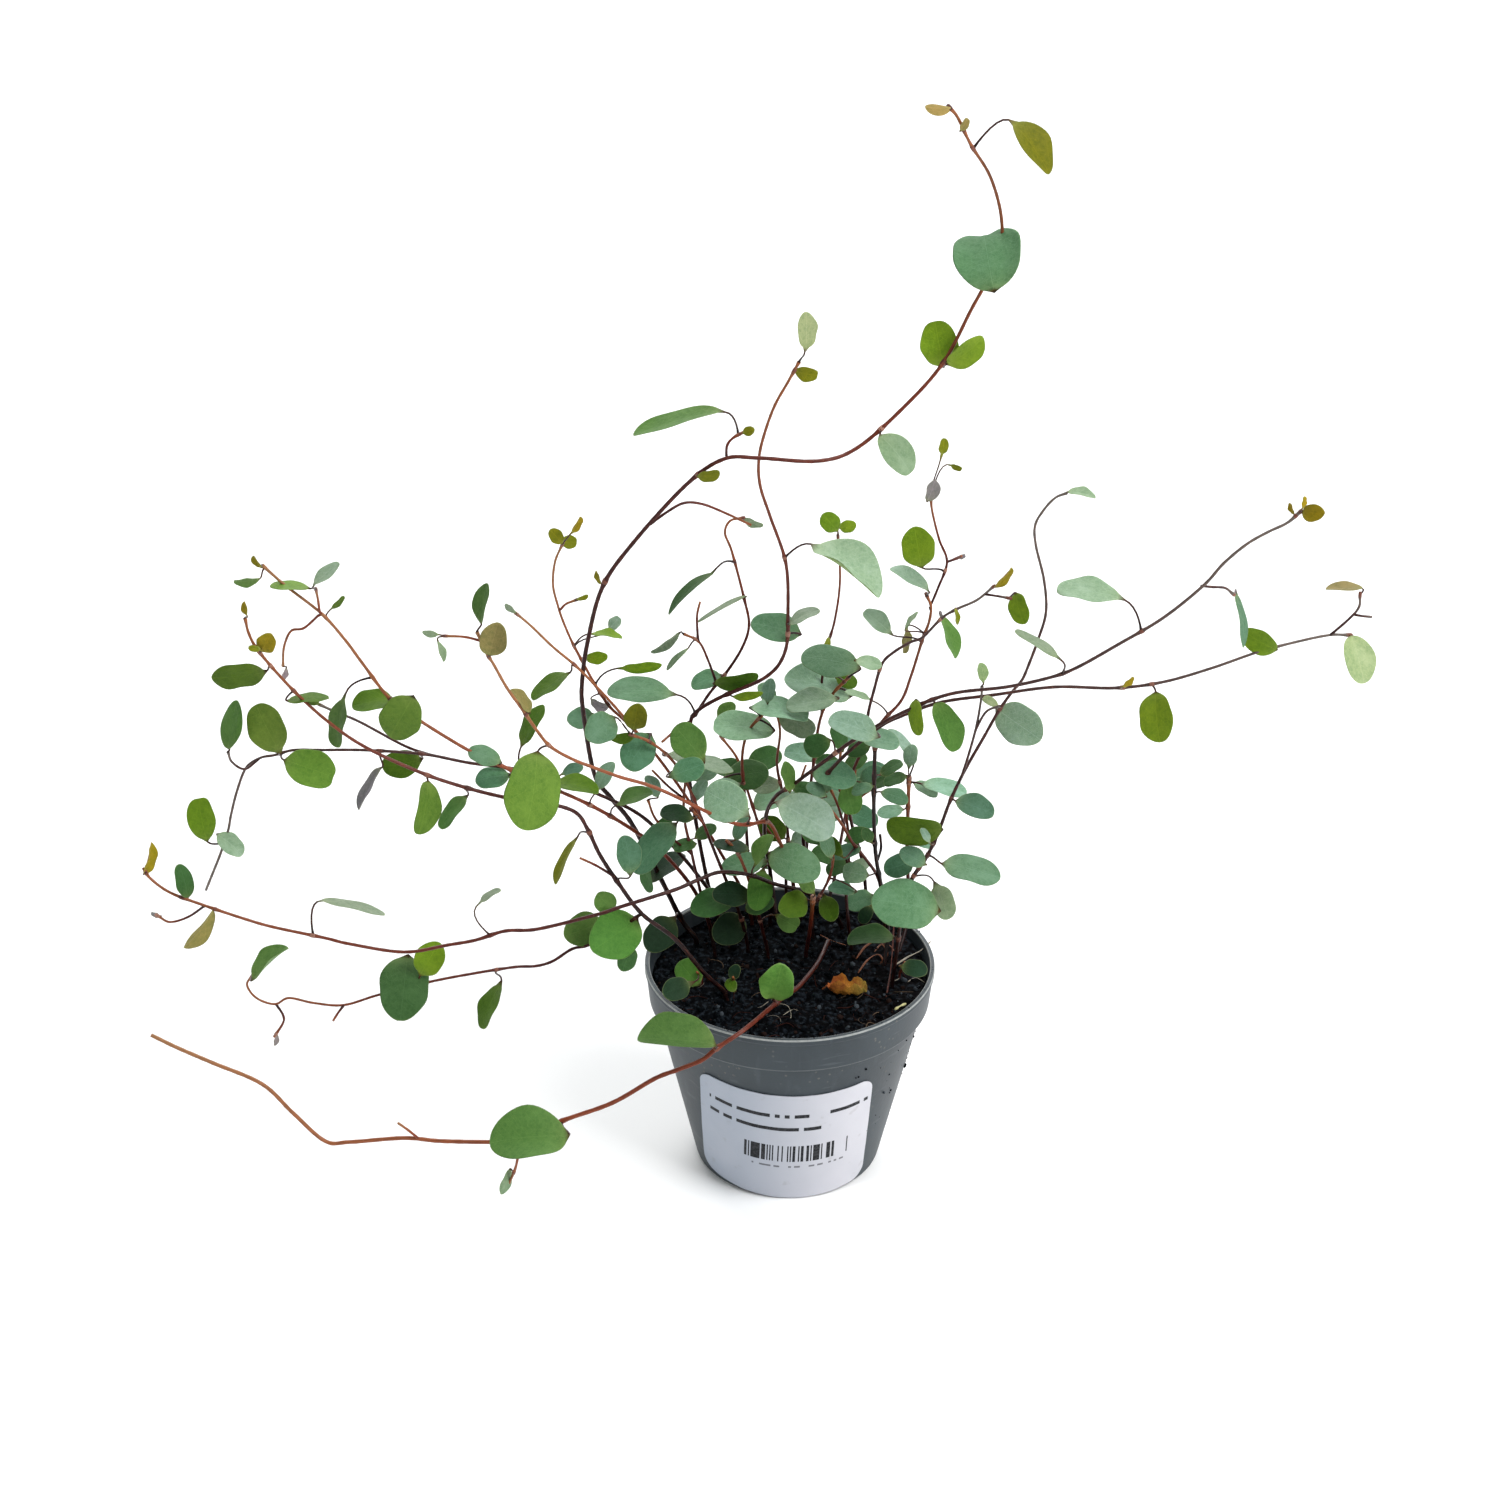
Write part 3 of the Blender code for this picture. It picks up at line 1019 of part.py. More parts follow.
def make_soil(holes):
    """Peat that fills the pot, with a low crumbly top and a plain hole round each stem."""
    draw = np.random.default_rng(SOIL_SEED)
    bottom = FLOOR + GAP
    step_height = POT_HEIGHT - STEP_DROP
    collar_height = POT_HEIGHT - COLLAR_DROP
    side = WALL + GAP
    foot_radius = COLLAR_RADIUS - COLLAR_DRAFT - side
    wide = foot_radius + (RIM_RADIUS - COLLAR_RADIUS) * 0.3
    profile = [
        (0.0, bottom),
        (body_radius(bottom) - side, bottom),
        (BODY_TOP_RADIUS - side, step_height + GAP),
        (foot_radius, collar_height + LIP_STEP + GAP),
        (wide, SOIL_LEVEL),
    ]
    profile += [(wide * share, SOIL_LEVEL) for share in SOIL_RINGS]
    profile.append((0.0, SOIL_LEVEL))
    points, faces = turned(profile, SOIL_SIDES)
    points = np.asarray(points)
    inner = (points[:, 2] == SOIL_LEVEL) & (np.hypot(points[:, 0], points[:, 1]) < wide - 1)
    points[inner, 2] += draw.uniform(-SOIL_BUMP, SOIL_BUMP, inner.sum())
    triangles = []
    for face in faces:
        triangles += [[face[0], b, c] for b, c in zip(face[1:], face[2:])]
    soil = add_object("soil", points, triangles, PEAT)
    cutters = []
    for foot, way, radius in holes:
        path = [foot - way * GAP, foot + way * (ROOT_DEPTH + HOLE_RISE)]
        points, faces = tube(path, [radius + HOLE_CLEARANCE] * 2, HOLE_SIDES)
        cutters.append(add_object("hole", points, faces, PEAT))
    boolean(soil, "DIFFERENCE", cutters)


# Dry leaf

def make_dry_leaf():
    """A fallen, curled leaf that lies on the soil."""
    at = on_soil(*DRY_LEAF_AT) + [0, 0, DRY_LEAF_RISE]
    ahead = unit(np.array([0.97, -0.2, 0.06]))
    across = unit(np.cross([0.05, 0.1, 1.0], ahead))
    frame = (at, ahead, across, np.cross(ahead, across), DRY_LEAF_LENGTH, DRY_LEAF_WIDTH)
    stalk = spine_point(frame, 0.0)
    path = np.array([stalk - ahead * DRY_STALK + [0, 0, DRY_STALK / 5], stalk])
    points, faces = leaf_solid(frame, path, PETIOLE_RADIUS, BLADE)
    add_object("dry_leaf", points, faces, WITHERED)


clear_scene()
make_pot()
make_label()
planting = Plant()
plant_all(planting)
make_vines(planting)
make_soil(planting.holes)
make_dry_leaf()
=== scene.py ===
"""A wire vine in its nursery pot, dressed for looks.

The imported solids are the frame. Each piece below takes the place of one of them: the moulded
pot, the peat, the paper label, every leafy stem and the fallen leaf. Lengths are millimetres
until a mesh is put in, and colours are shades as they are seen on a screen, from 0 to 255.
"""
import math

import bpy
import numpy as np
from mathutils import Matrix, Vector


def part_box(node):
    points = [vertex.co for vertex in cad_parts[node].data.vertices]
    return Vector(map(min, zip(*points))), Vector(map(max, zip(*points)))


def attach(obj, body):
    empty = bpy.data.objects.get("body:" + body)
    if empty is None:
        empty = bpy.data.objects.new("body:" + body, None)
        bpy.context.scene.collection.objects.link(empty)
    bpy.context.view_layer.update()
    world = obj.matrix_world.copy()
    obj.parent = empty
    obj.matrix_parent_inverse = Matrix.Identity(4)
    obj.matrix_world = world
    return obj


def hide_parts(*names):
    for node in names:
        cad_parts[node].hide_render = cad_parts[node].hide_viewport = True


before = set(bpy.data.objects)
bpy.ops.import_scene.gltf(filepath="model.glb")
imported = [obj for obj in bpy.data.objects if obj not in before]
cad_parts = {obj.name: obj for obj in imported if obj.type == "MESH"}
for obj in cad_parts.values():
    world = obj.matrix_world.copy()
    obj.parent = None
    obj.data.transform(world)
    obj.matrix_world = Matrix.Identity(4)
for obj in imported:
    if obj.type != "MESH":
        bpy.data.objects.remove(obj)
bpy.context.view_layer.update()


# Nursery pot: one thin shell of slate-grey polypropylene, injection moulded, with a tapering
# wall, a step that pots stack by, a collar and a rolled lip. Five round holes drain the base.

MM = 0.001
POT_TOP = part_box("pot")[1].z / MM
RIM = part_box("pot")[1].x / MM
BASE = 29.0
STEP_HEIGHT = POT_TOP - 13.0
STEP_RADIUS = 41.8
COLLAR_HEIGHT = POT_TOP - 12.0
COLLAR_RADIUS = 43.6
LIP_HEIGHT = POT_TOP - 2.2
LIP_STEP = 0.4
LIP_DRAFT = 0.05
LIP_EXTRA = 0.3
WALL = 1.2
FLOOR = 2.0
FLOOR_DRAFT = 0.46
CORNER_REACHES = (1.4, 0.45, 0.5, 0.3, 0.3, 0.45, 0.4, 0.5, 0.5, 1.0)
CORNER_STEPS = 5
POT_SIDES = 168
DRAIN_RING = 19.0
DRAIN_RADIUS = 3.0
DRAIN_HOLES = 5
DRAIN_SIDES = 28
SHARP_EDGE = math.radians(50)


class Shade:
    """A shader socket. Arithmetic on it adds Math nodes, and gives the socket of the answer."""

    def __init__(self, finish, socket):
        self.finish = finish
        self.socket = socket

    def reckon(self, operation, *values):
        """A Math node that works on the values."""
        return self.finish.node("Math", {"operation": operation}, dict(enumerate(values)))

    def __add__(self, other):
        return self.reckon("ADD", self, other)

    def __sub__(self, other):
        return self.reckon("SUBTRACT", self, other)

    def __rsub__(self, other):
        return self.reckon("SUBTRACT", other, self)

    def __mul__(self, other):
        return self.reckon("MULTIPLY", self, other)

    def __gt__(self, other):
        return self.reckon("GREATER_THAN", self, other)

    def __lt__(self, other):
        return self.reckon("LESS_THAN", self, other)

    __radd__ = __add__
    __rmul__ = __mul__

    def floor(self):
        return self.reckon("FLOOR", self)

    def fraction(self):
        return self.reckon("FRACT", self)

    def size(self):
        return self.reckon("ABSOLUTE", self)

    def part(self, index):
        """Another output of the same node."""
        return Shade(self.finish, self.socket.node.outputs[index])

    def rise(self, low, high):
        """0 below the low value, 1 above the high one, and a smooth step between."""
        sockets = {"Value": self, "From Min": low, "From Max": high}
        return self.finish.node("MapRange", {"interpolation_type": "SMOOTHSTEP"}, sockets)

    def band(self, middle, near, far):
        """1 where the value is near the middle one, 0 where it is far from it."""
        return 1 - (self - middle).size().rise(near, far)


class Finish:
    """A material whose colour and roughness vary over the surface."""

    def __init__(self, name, **fixed):
        self.material = bpy.data.materials.new(name)
        self.material.use_nodes = True
        self.tree = self.material.node_tree
        self.shader = self.tree.nodes["Principled BSDF"]
        for socket, value in fixed.items():
            self.shader.inputs[socket.replace("_", " ")].default_value = value

    def node(self, kind, settings, sockets, output=0):
        """Add a node: its settings first, then the values or links of its sockets."""
        made = self.tree.nodes.new("ShaderNode" + kind)
        for name, value in settings.items():
            setattr(made, name, value)
        for name, value in sockets.items():
            self.feed(made.inputs[name], value)
        return Shade(self, made.outputs[output])

    def feed(self, socket, value):
        """Link a value to a socket, or set it there. A colour is three numbers from 0 to 255."""
        if isinstance(value, Shade):
            self.tree.links.new(value.socket, socket)
        elif socket.type == "RGBA":
            socket.default_value = (*tint(*value), 1.0)
        else:
            socket.default_value = value

    def place(self):
        """Object coordinates, in metres."""
        return self.node("TexCoord", {}, {}, "Object")

    def mark(self, name, output="Fac"):
        """A value kept on the mesh."""
        return self.node("Attribute", {"attribute_name": name}, {}, output)

    def noise(self, vector, scale, detail=3.0):
        """Fractal noise from 0 to 1, with a scale in lumps to a metre."""
        return self.node("TexNoise", {}, {"Vector": vector, "Scale": scale, "Detail": detail})

    def cells(self, vector, scale, feature="F1"):
        """Distance in a pattern of cells: to the middle of one, or to its edge."""
        return self.node("TexVoronoi", {"feature": feature}, {"Vector": vector, "Scale": scale})

    def parts(self, vector):
        """The three numbers of a vector."""
        first = self.node("SeparateXYZ", {}, {0: vector})
        return first, first.part(1), first.part(2)

    def stretched(self, vector, factors):
        """The three numbers of a vector or colour, each times its factor."""
        return self.node("VectorMath", {"operation": "MULTIPLY"}, {0: vector, 1: factors})

    def coated(self, colour, *coats):
        """Lay (mask, colour) coats over a colour, each as far as its mask rises from 0 to 1."""
        for mask, coat in coats:
            colour = self.node("Mix", {"data_type": "RGBA"}, {0: mask, 6: colour, 7: coat}, 2)
        return colour

    def relief(self, height, depth):
        """Bump from a height of 0 to 1, as deep as the given millimetres."""
        sockets = {"Height": height, "Distance": depth * MM, "Strength": 1.0}
        self.feed(self.shader.inputs["Normal"], self.node("Bump", {}, sockets))

    def done(self, colour, roughness):
        """The finished material."""
        self.feed(self.shader.inputs["Base Color"], colour)
        self.feed(self.shader.inputs["Roughness"], roughness)
        return self.material


def tint(red, green, blue):
    """The linear colour of a shade as it is seen on a screen, from 0 to 255."""
    seen = np.array([red, green, blue]) / 255
    return tuple(np.where(seen < 0.04045, seen / 12.92, ((seen + 0.055) / 1.055) ** 2.4))


def put_in(name, points, quads, triangles, finishes, which=None, marks=()):
    """Make an object at the origin from millimetre points, smooth shaded, faces out.

    The marks are (name, values) with a number, or three, for each point, and the which array
    gives each face's finish, quads first.
    """
    mesh = bpy.data.meshes.new(name)
    quads = np.reshape(quads, (-1, 4)).astype(int)
    triangles = np.reshape(triangles, (-1, 3)).astype(int)
    corners = np.concatenate([quads.ravel(), triangles.ravel()])
    sizes = np.repeat([4, 3], [len(quads), len(triangles)])
    mesh.vertices.add(len(points))
    mesh.vertices.foreach_set("co", (np.asarray(points) * MM).ravel())
    mesh.loops.add(len(corners))
    mesh.loops.foreach_set("vertex_index", corners)
    mesh.polygons.add(len(sizes))
    mesh.polygons.foreach_set("loop_start", sizes.cumsum() - sizes)
    if which is not None:
        mesh.polygons.foreach_set("material_index", which)
    mesh.update(calc_edges=True)
    for mark, values in marks:
        flat = np.ndim(values) == 1
        kept = mesh.attributes.new(mark, "FLOAT" if flat else "FLOAT_VECTOR", "POINT")
        kept.data.foreach_set("value" if flat else "vector", np.ravel(values))
    for finish in finishes:
        mesh.materials.append(finish)
    mesh.shade_smooth()
    made = bpy.data.objects.new(name, mesh)
    bpy.context.scene.collection.objects.link(made)
    return made


def stand_for(piece, node):
    """The piece takes the place of a solid of the frame."""
    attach(piece, "root")
    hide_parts(node)


def rounded(corners, reaches):
    """A run of (radius, height) points whose corners are eased.

    Each corner is a quadratic curve from a reach before it to a reach after it.
    """
    corners = np.asarray(corners, float)
    share = np.linspace(0, 1, CORNER_STEPS)[:, None]
    run = [corners[:1]]
    for before, at, after, reach in zip(corners, corners[1:], corners[2:], reaches):
        start = at + (before - at) * min(reach / np.linalg.norm(before - at), 0.5)
        end = at + (after - at) * min(reach / np.linalg.norm(after - at), 0.5)
        run.append((1 - share) ** 2 * start + 2 * share * (1 - share) * at + share ** 2 * end)
    return np.concatenate(run + [corners[-1:]])


def round_angles(count):
    """Equal steps round a circle."""
    return 2 * np.pi * np.arange(count) / count


def around(radius, angle, height):
    """Points at (radius cos a, radius sin a, height)."""
    flat = radius * np.cos(angle), radius * np.sin(angle)
    return np.stack(np.broadcast_arrays(*flat, height), -1)


def skin(rings, first, last):
    """Points, quads and triangles of a run of equal rings, closed on a pole at either end.

    The poles come after the rings' points. Faces point to the left of the run.
    """
    count, sides = rings.shape[:2]
    i = np.arange(sides)
    n = (i + 1) % sides
    row = np.arange(count - 1)[:, None] * sides
    quads = np.stack([row + i, row + n, row + n + sides, row + i + sides], 2).reshape(-1, 4)
    edge = (count - 1) * sides
    pole = np.full(sides, count * sides)
    start = np.stack([pole, n, i], 1)
    end = np.stack([pole + 1, edge + i, edge + n], 1)
    points = np.concatenate([rings.reshape(-1, 3), [first, last]])
    return points, quads, np.concatenate([start, end])


def turned(profile, sides):
    """Spin a profile of (radius, height) about Z; its two ends lie on the axis and are poles.

    Faces point to the left of the profile's run, outwards when it goes up on the outer side.
    """
    rings = around(profile[1:-1, :1], round_angles(sides), profile[1:-1, 1:])
    return skin(rings, [0, 0, profile[0][1]], [0, 0, profile[-1][1]])


def body_radius(height):
    """Outer radius of the tapering wall, from the base to the step."""
    return BASE + (STEP_RADIUS - BASE) * height / STEP_HEIGHT


def plastic():
    """Slate plastic: cloudy at two scales, drag marks down the wall, scuffs, dust, wear and painted
    highlight.

    The pale lines are bands of radius along the lip's two edges, partly wear and partly painted
    highlight, and one of height at the collar, which is a painted highlight.
    """
    made = Finish("slate_plastic", Specular_IOR_Level=0.3)
    place = made.place()
    flat = made.stretched(place, (1 / MM, 1 / MM, 0.0))
    radius = made.node("VectorMath", {"operation": "LENGTH"}, {0: flat}, 1)
    height = made.parts(place)[2] * (1 / MM)
    # painted highlight: the lip bands are partly wear and partly painted highlight, the collar band is
    # painted highlight only
    lip = radius.band(RIM - WALL - 0.2, 0.1, 0.24) * 0.9 + radius.band(RIM - 0.12, 0.08, 0.2)
    collar = height.band(COLLAR_HEIGHT + 0.2, 0.1, 0.35) * (radius > STEP_RADIUS)
    wear_and_highlight = lip * (height > POT_TOP - 0.6) + collar * 0.2
    cloud = made.noise(place, 34.0)
    grain = made.noise(place, 900.0, 2.0)
    drag = made.noise(made.stretched(place, (260.0, 260.0, 22.0)), 1.0, 4.0).rise(0.56, 0.74)
    scuff = made.noise(made.stretched(place, (60.0, 60.0, 420.0)), 1.0, 5.0).rise(0.62, 0.7)
    dust = (made.cells(place, 420.0) < 0.17) * made.noise(place, 70.0).rise(0.5, 0.62)
    colour = made.coated(
        (47, 54, 59), (cloud.rise(0.3, 0.7), (58, 66, 71)),
        (grain.rise(0.45, 0.8) * 0.25, (58, 66, 74)), (drag * 0.12, (104, 112, 118)),
        (scuff * 0.16, (112, 118, 122)), (dust * 0.35, (134, 130, 120)),
        (wear_and_highlight * (0.4 + grain * 0.6), (168, 171, 168)))
    made.relief(grain * 0.7 + cloud * 0.3, 0.05)
    return made.done(colour, 0.4 + cloud * 0.2 + dust * 0.3)


def mould_pot():
    """The shell's outline goes out along the base, up the outside, over the lip and back in."""
    outline = [
        (0, 0), (BASE, 0), (STEP_RADIUS, STEP_HEIGHT), (COLLAR_RADIUS, COLLAR_HEIGHT),
        (RIM - LIP_STEP, LIP_HEIGHT), (RIM, LIP_HEIGHT + LIP_STEP), (RIM - LIP_DRAFT, POT_TOP),
        (RIM - WALL - LIP_EXTRA, POT_TOP), (COLLAR_RADIUS - WALL, COLLAR_HEIGHT + LIP_STEP),
        (STEP_RADIUS - WALL, STEP_HEIGHT), (BASE + FLOOR_DRAFT - WALL, FLOOR), (0, FLOOR),
    ]
    pot = put_in("moulded_pot", *turned(rounded(outline, CORNER_REACHES), POT_SIDES), [plastic()])
    drill = [(0, -FLOOR), (DRAIN_RADIUS, -FLOOR), (DRAIN_RADIUS, 2 * FLOOR), (0, 2 * FLOOR)]
    hole, sides, caps = turned(np.array(drill, float), DRAIN_SIDES)
    drills = []
    for k in range(DRAIN_HOLES):
        at = around(DRAIN_RING, (2 * k + 1) * math.pi / DRAIN_HOLES, 0)
        drills.append(put_in("drill", hole + at, sides, caps, []))
        cut = pot.modifiers.new("drain", "BOOLEAN")
        cut.operation = "DIFFERENCE"
        cut.object = drills[-1]
    graph = bpy.context.evaluated_depsgraph_get()
    shell = bpy.data.meshes.new_from_object(pot.evaluated_get(graph))
    pot.modifiers.clear()
    pot.data = shell
    shell.set_sharp_from_angle(angle=SHARP_EDGE)
    for drilling in drills:
        bpy.data.objects.remove(drilling)
    stand_for(pot, "pot")


mould_pot()


# Peat: dark, crumbly, a little fibrous potting soil that fills the pot to just under its step
# lip. It is poured in round the roots, pressed down, and watered until it settles.

SOIL_LEVEL = POT_TOP - 6.2
SOIL_RADIUS = COLLAR_RADIUS - WALL + 0.05
SOIL_SIDES = 180
SOIL_RINGS = 64
SOIL_SEED = 23
HILLS = 620
# the peat lies higher along the wall to the right and at the back
BANK = [(38, 8, 10, 1.8), (34, 22, 12, 2.0), (20, 34, 13, 1.6), (36, -14, 8, 1.2)]
CRUMBS = 2400
WALL_CRUMBS = 70
LIP_CRUMBS = 60
CRUMB_TONES = {(6, 9, 13): 0.54, (26, 31, 36): 0.27, (40, 27, 23): 0.11, (70, 76, 82): 0.08}
FIBRES = 120
FIBRE_POINTS = 9
FIBRE_SIDES = 5
FIBRE_LEAN = [0.31, 0.17, 0.93]
FIBRE_TONES = {(56, 30, 25): 0.36, (36, 25, 23): 0.4, (96, 80, 66): 0.16, (142, 134, 122): 0.08}


def peat():
    """Blue-black peat with brown and reddish crumbs; the tone is kept on each crumb."""
    made = Finish("peat", Specular_IOR_Level=0.04)
    place = made.place()
    fine = made.noise(place, 1500.0, 4.0)
    clod = made.noise(place, 620.0, 4.0)
    patch = made.noise(place, 240.0)
    brown = (made.parts(place)[0] * 30.0 + patch).rise(0.4, 1.5)
    # painted highlight on the clod tops and the fine specks, and painted shade of near black in the gaps
    # where the clod noise is low
    colour = made.coated(
        (3, 5, 8), (patch.rise(0.4, 0.62), (7, 10, 14)), (brown * 0.5, (18, 12, 11)),
        (clod.rise(0.52, 0.64) * 0.6, (40, 47, 54)), (fine.rise(0.62, 0.72) * 0.45, (66, 72, 78)),
        (clod.rise(0.5, 0.42) * 0.9, (1, 1, 2)), (made.mark("own"), made.mark("tone", "Color")))
    made.relief(fine * 0.4 + clod * 0.6, 0.7)
    return made.done(colour, 0.8 + fine * 0.2)


def unit(vector):
    """Vectors of length 1 that point the same way."""
    return vector / np.linalg.norm(vector, axis=-1, keepdims=True)


def tube_rings(path, radii, sides, lean=None):
    """Rings at right angles to a path. The lean is the way that each ring's first point is."""
    run = unit(np.gradient(path, axis=0))
    if lean is None:
        lean = np.cross(run, unit(np.array([0.21, 0.34, 0.92]) + 0.2 * run.mean(0)))
    side = unit(lean - run * (lean * run).sum(1, keepdims=True))
    up = np.cross(run, side)
    angle = round_angles(sides)
    turn = np.cos(angle)[:, None] * side[:, None] + np.sin(angle)[:, None] * up[:, None]
    return path[:, None] + np.asarray(radii)[..., None, None] * turn


class Growth:
    """Skins, with what is kept on their points, gathered until they are put in as one piece."""

    def __init__(self):
        self.points, self.quads, self.triangles = [], [], []
        self.quad_finish, self.cap_finish = [], []
        self.marks = {}
        self.count = 0

    def add(self, skinned, finish=0, **marks):
        """Keep a skin. The finish is a number, or one for each of its quads. A mark has one value
        for the skin or one for each point.
        """
        points, quads, triangles = skinned
        self.points.append(points)
        self.quads.append(quads + self.count)
        self.triangles.append(triangles + self.count)
        self.quad_finish.append(np.broadcast_to(finish, len(quads)))
        ends = np.atleast_1d(finish)[[0, -1]]
        self.cap_finish.append(np.repeat(ends, len(triangles) // 2))
        for name, values in marks.items():
            shape = (len(points), 3) if name in ("tone", "run") else len(points)
            self.marks.setdefault(name, []).append(np.broadcast_to(values, shape))
        self.count += len(points)

    def put_in(self, name, finishes):
        """Make one piece of all the skins."""
        which = np.concatenate(self.quad_finish + self.cap_finish)
        marks = [(mark, np.concatenate(values)) for mark, values in self.marks.items()]
        return put_in(name, np.concatenate(self.points), np.concatenate(self.quads),
                      np.concatenate(self.triangles), finishes, which, marks)


def blob():
    """Twelve points of an icosahedron and its twenty faces."""
    golden = (1 + 5 ** 0.5) / 2
    signs = [(a, b) for a in (-1, 1) for b in (-golden, golden)]
    points = [(0, a, b) for a, b in signs] + [(a, b, 0) for a, b in signs]
    points += [(b, 0, a) for a, b in signs]
    points = np.array(points, float)
    edge = np.linalg.norm(points[:, None] - points, axis=2) < 2.1
    faces = [(i, j, k) for i in range(12) for j in range(i) for k in range(j)
             if edge[i, j] and edge[j, k] and edge[i, k]]
    faces = np.array(faces)
    a, b, c = points[faces].transpose(1, 0, 2)
    inward = (np.cross(b - a, c - a) * a).sum(1) < 0
    faces[inward] = faces[inward][:, ::-1]
    return points / np.linalg.norm(points[0]), faces


def lumps(draw, places, sizes):
    """Lumps at the given places: each is a dented blob, squashed and turned at random."""
    shape, faces = blob()
    count = len(places)
    dents = draw.uniform(0.65, 1.2, (count, len(shape), 1))
    squash = draw.uniform(0.5, 1.0, (count, 1, 3))
    turns, _ = np.linalg.qr(draw.normal(size=(count, 3, 3)))
    turns[:, :, 0] *= np.linalg.det(turns)[:, None]
    points = shape * dents * squash @ turns * sizes[:, None, None] + places[:, None]
    cells = faces + np.arange(count)[:, None, None] * len(shape)
    return points.reshape(-1, 3), np.empty((0, 4), int), cells.reshape(-1, 3)


def on_peat(x, y, hills, lift=0.0):
    """Points on the peat, raised by the lift.

    The peat's level is the fill level and the sum of round hills, (x, y, width, height).
    """
    away = (x[..., None] - hills[:, 0]) ** 2 + (y[..., None] - hills[:, 1]) ** 2
    level = SOIL_LEVEL + (hills[:, 3] * np.exp(-away / hills[:, 2] ** 2)).sum(-1)
    return np.stack([x, y, level + lift], -1)


def poured(hills):
    """The skin of the fill: three rings up the wall, then ever smaller ones over the top."""
    angle = round_angles(SOIL_SIDES)
    radius = SOIL_RADIUS * np.linspace(1, 0.02, SOIL_RINGS)[:, None]
    top = on_peat(radius * np.cos(angle), radius * np.sin(angle), hills)
    wall = np.array([(BASE + 0.3 - WALL, FLOOR + 0.3), (STEP_RADIUS - WALL - 0.3, STEP_HEIGHT),
                     (COLLAR_RADIUS - WALL - 0.2, COLLAR_HEIGHT + 1.0)])
    rings = np.concatenate([around(wall[:, :1], angle, wall[:, 1:]), top])
    return skin(rings, [0, 0, FLOOR + 0.3], [0, 0, top[-1, :, 2].mean()])


def crumb_places(draw, hills):
    """Places and sizes of the crumbs: most small on the peat, some on the wall and the lip."""
    far = SOIL_RADIUS * np.sqrt(draw.uniform(0, 0.97, CRUMBS))
    way = draw.uniform(0, 2 * np.pi, CRUMBS)
    size = 0.2 + 1.2 * draw.uniform(0, 1, CRUMBS) ** 4
    loose = on_peat(far * np.cos(way), far * np.sin(way), hills, size * 0.2)
    way = draw.normal(-0.35, 0.5, WALL_CRUMBS)
    height = draw.uniform(0.25, 1.0, WALL_CRUMBS) ** 0.7 * STEP_HEIGHT
    spilt = around(body_radius(height), way, height)
    way = draw.uniform(0, 2 * np.pi, LIP_CRUMBS)
    on_lip = around(RIM - 0.65 + draw.normal(0, 0.25, LIP_CRUMBS), way, POT_TOP)
    small = draw.uniform(0.12, 0.4, WALL_CRUMBS) + 0.75 * draw.uniform(0, 1, WALL_CRUMBS) ** 6
    sizes = np.concatenate([size, small, draw.uniform(0.1, 0.34, LIP_CRUMBS)])
    return np.concatenate([loose, spilt, on_lip]), sizes


def fibre_paths(draw, hills):
    """Paths and radii of fibres and fine roots that arch off the peat, more to the right."""
    x = 40 - 72 * draw.uniform(0, 1, FIBRES) ** 1.7
    y = -draw.uniform(-10, 36, FIBRES)
    keep = np.hypot(x, y) < SOIL_RADIUS - 5
    x, y = x[keep, None], y[keep, None]
    count = len(x)
    share = np.linspace(-0.5, 0.5, FIBRE_POINTS)
    way = draw.uniform(0, np.pi, count)[:, None]
    bend = draw.normal(0, 0.6, count)[:, None]
    length = draw.uniform(2.0, 8.0, count)[:, None]
    along = way + bend * share
    lift = draw.uniform(0.1, 0.9, count)[:, None] * (1 - 3.2 * share ** 2)
    paths = on_peat(x + length * share * np.cos(along), y + length * share * np.sin(along), hills, lift)
    return paths, draw.uniform(0.06, 0.17, count)


def picked(draw, tones, count):
    """A chance tone for each of a count of bits, from tones and their shares."""
    colours = np.array([tint(*tone) for tone in tones])
    return colours[draw.choice(len(tones), count, p=list(tones.values()))]


def fill_soil():
    """The fill, with crumbs and fibres on it, as one piece."""
    draw = np.random.default_rng(SOIL_SEED)
    bounds = [(-SOIL_RADIUS, SOIL_RADIUS), (-SOIL_RADIUS, SOIL_RADIUS), (0.6, 2.8), (-0.8, 0.8)]
    hills = np.stack([draw.uniform(low, high, HILLS) for low, high in bounds], 1)
    hills = np.concatenate([hills, BANK])
    growth = Growth()
    growth.add(poured(hills), own=0.0, tone=0.0)
    crumbs = lumps(draw, *crumb_places(draw, hills))
    count = CRUMBS + WALL_CRUMBS + LIP_CRUMBS
    tones = picked(draw, CRUMB_TONES, count)
    growth.add(crumbs, own=0.85, tone=np.repeat(tones, len(crumbs[0]) // count, 0))
    paths, radii = fibre_paths(draw, hills)
    taper = np.sin(np.linspace(0.25, math.pi - 0.25, FIBRE_POINTS)) ** 0.5
    for path, radius, tone in zip(paths, radii, picked(draw, FIBRE_TONES, len(paths))):
        lean = np.cross(unit(np.gradient(path, axis=0)), FIBRE_LEAN)
        rings = tube_rings(path, radius * taper, FIBRE_SIDES, lean)
        growth.add(skin(rings, path[0], path[-1]), own=0.95, tone=tone)
    stand_for(growth.put_in("peat_fill", [peat()]), "soil")


fill_soil()


# Label: a self-adhesive sticker of coated white paper with rounded corners, put on the front of
# the wall by hand, so it is a little askew and has faint creases.

LABEL_TOP_DROP = 23.7
LABEL_HEIGHT = 46.2
LABEL_WIDTH = 56.8
LABEL_CORNER = 4.5
LABEL_SIDE = math.radians(-2.9)
LABEL_TILT = math.radians(1.8)
LABEL_THICKNESS = 0.3
LABEL_GAP = 0.12
LABEL_COLUMNS = 72
LABEL_ROWS = 60
CREASE = 0.05
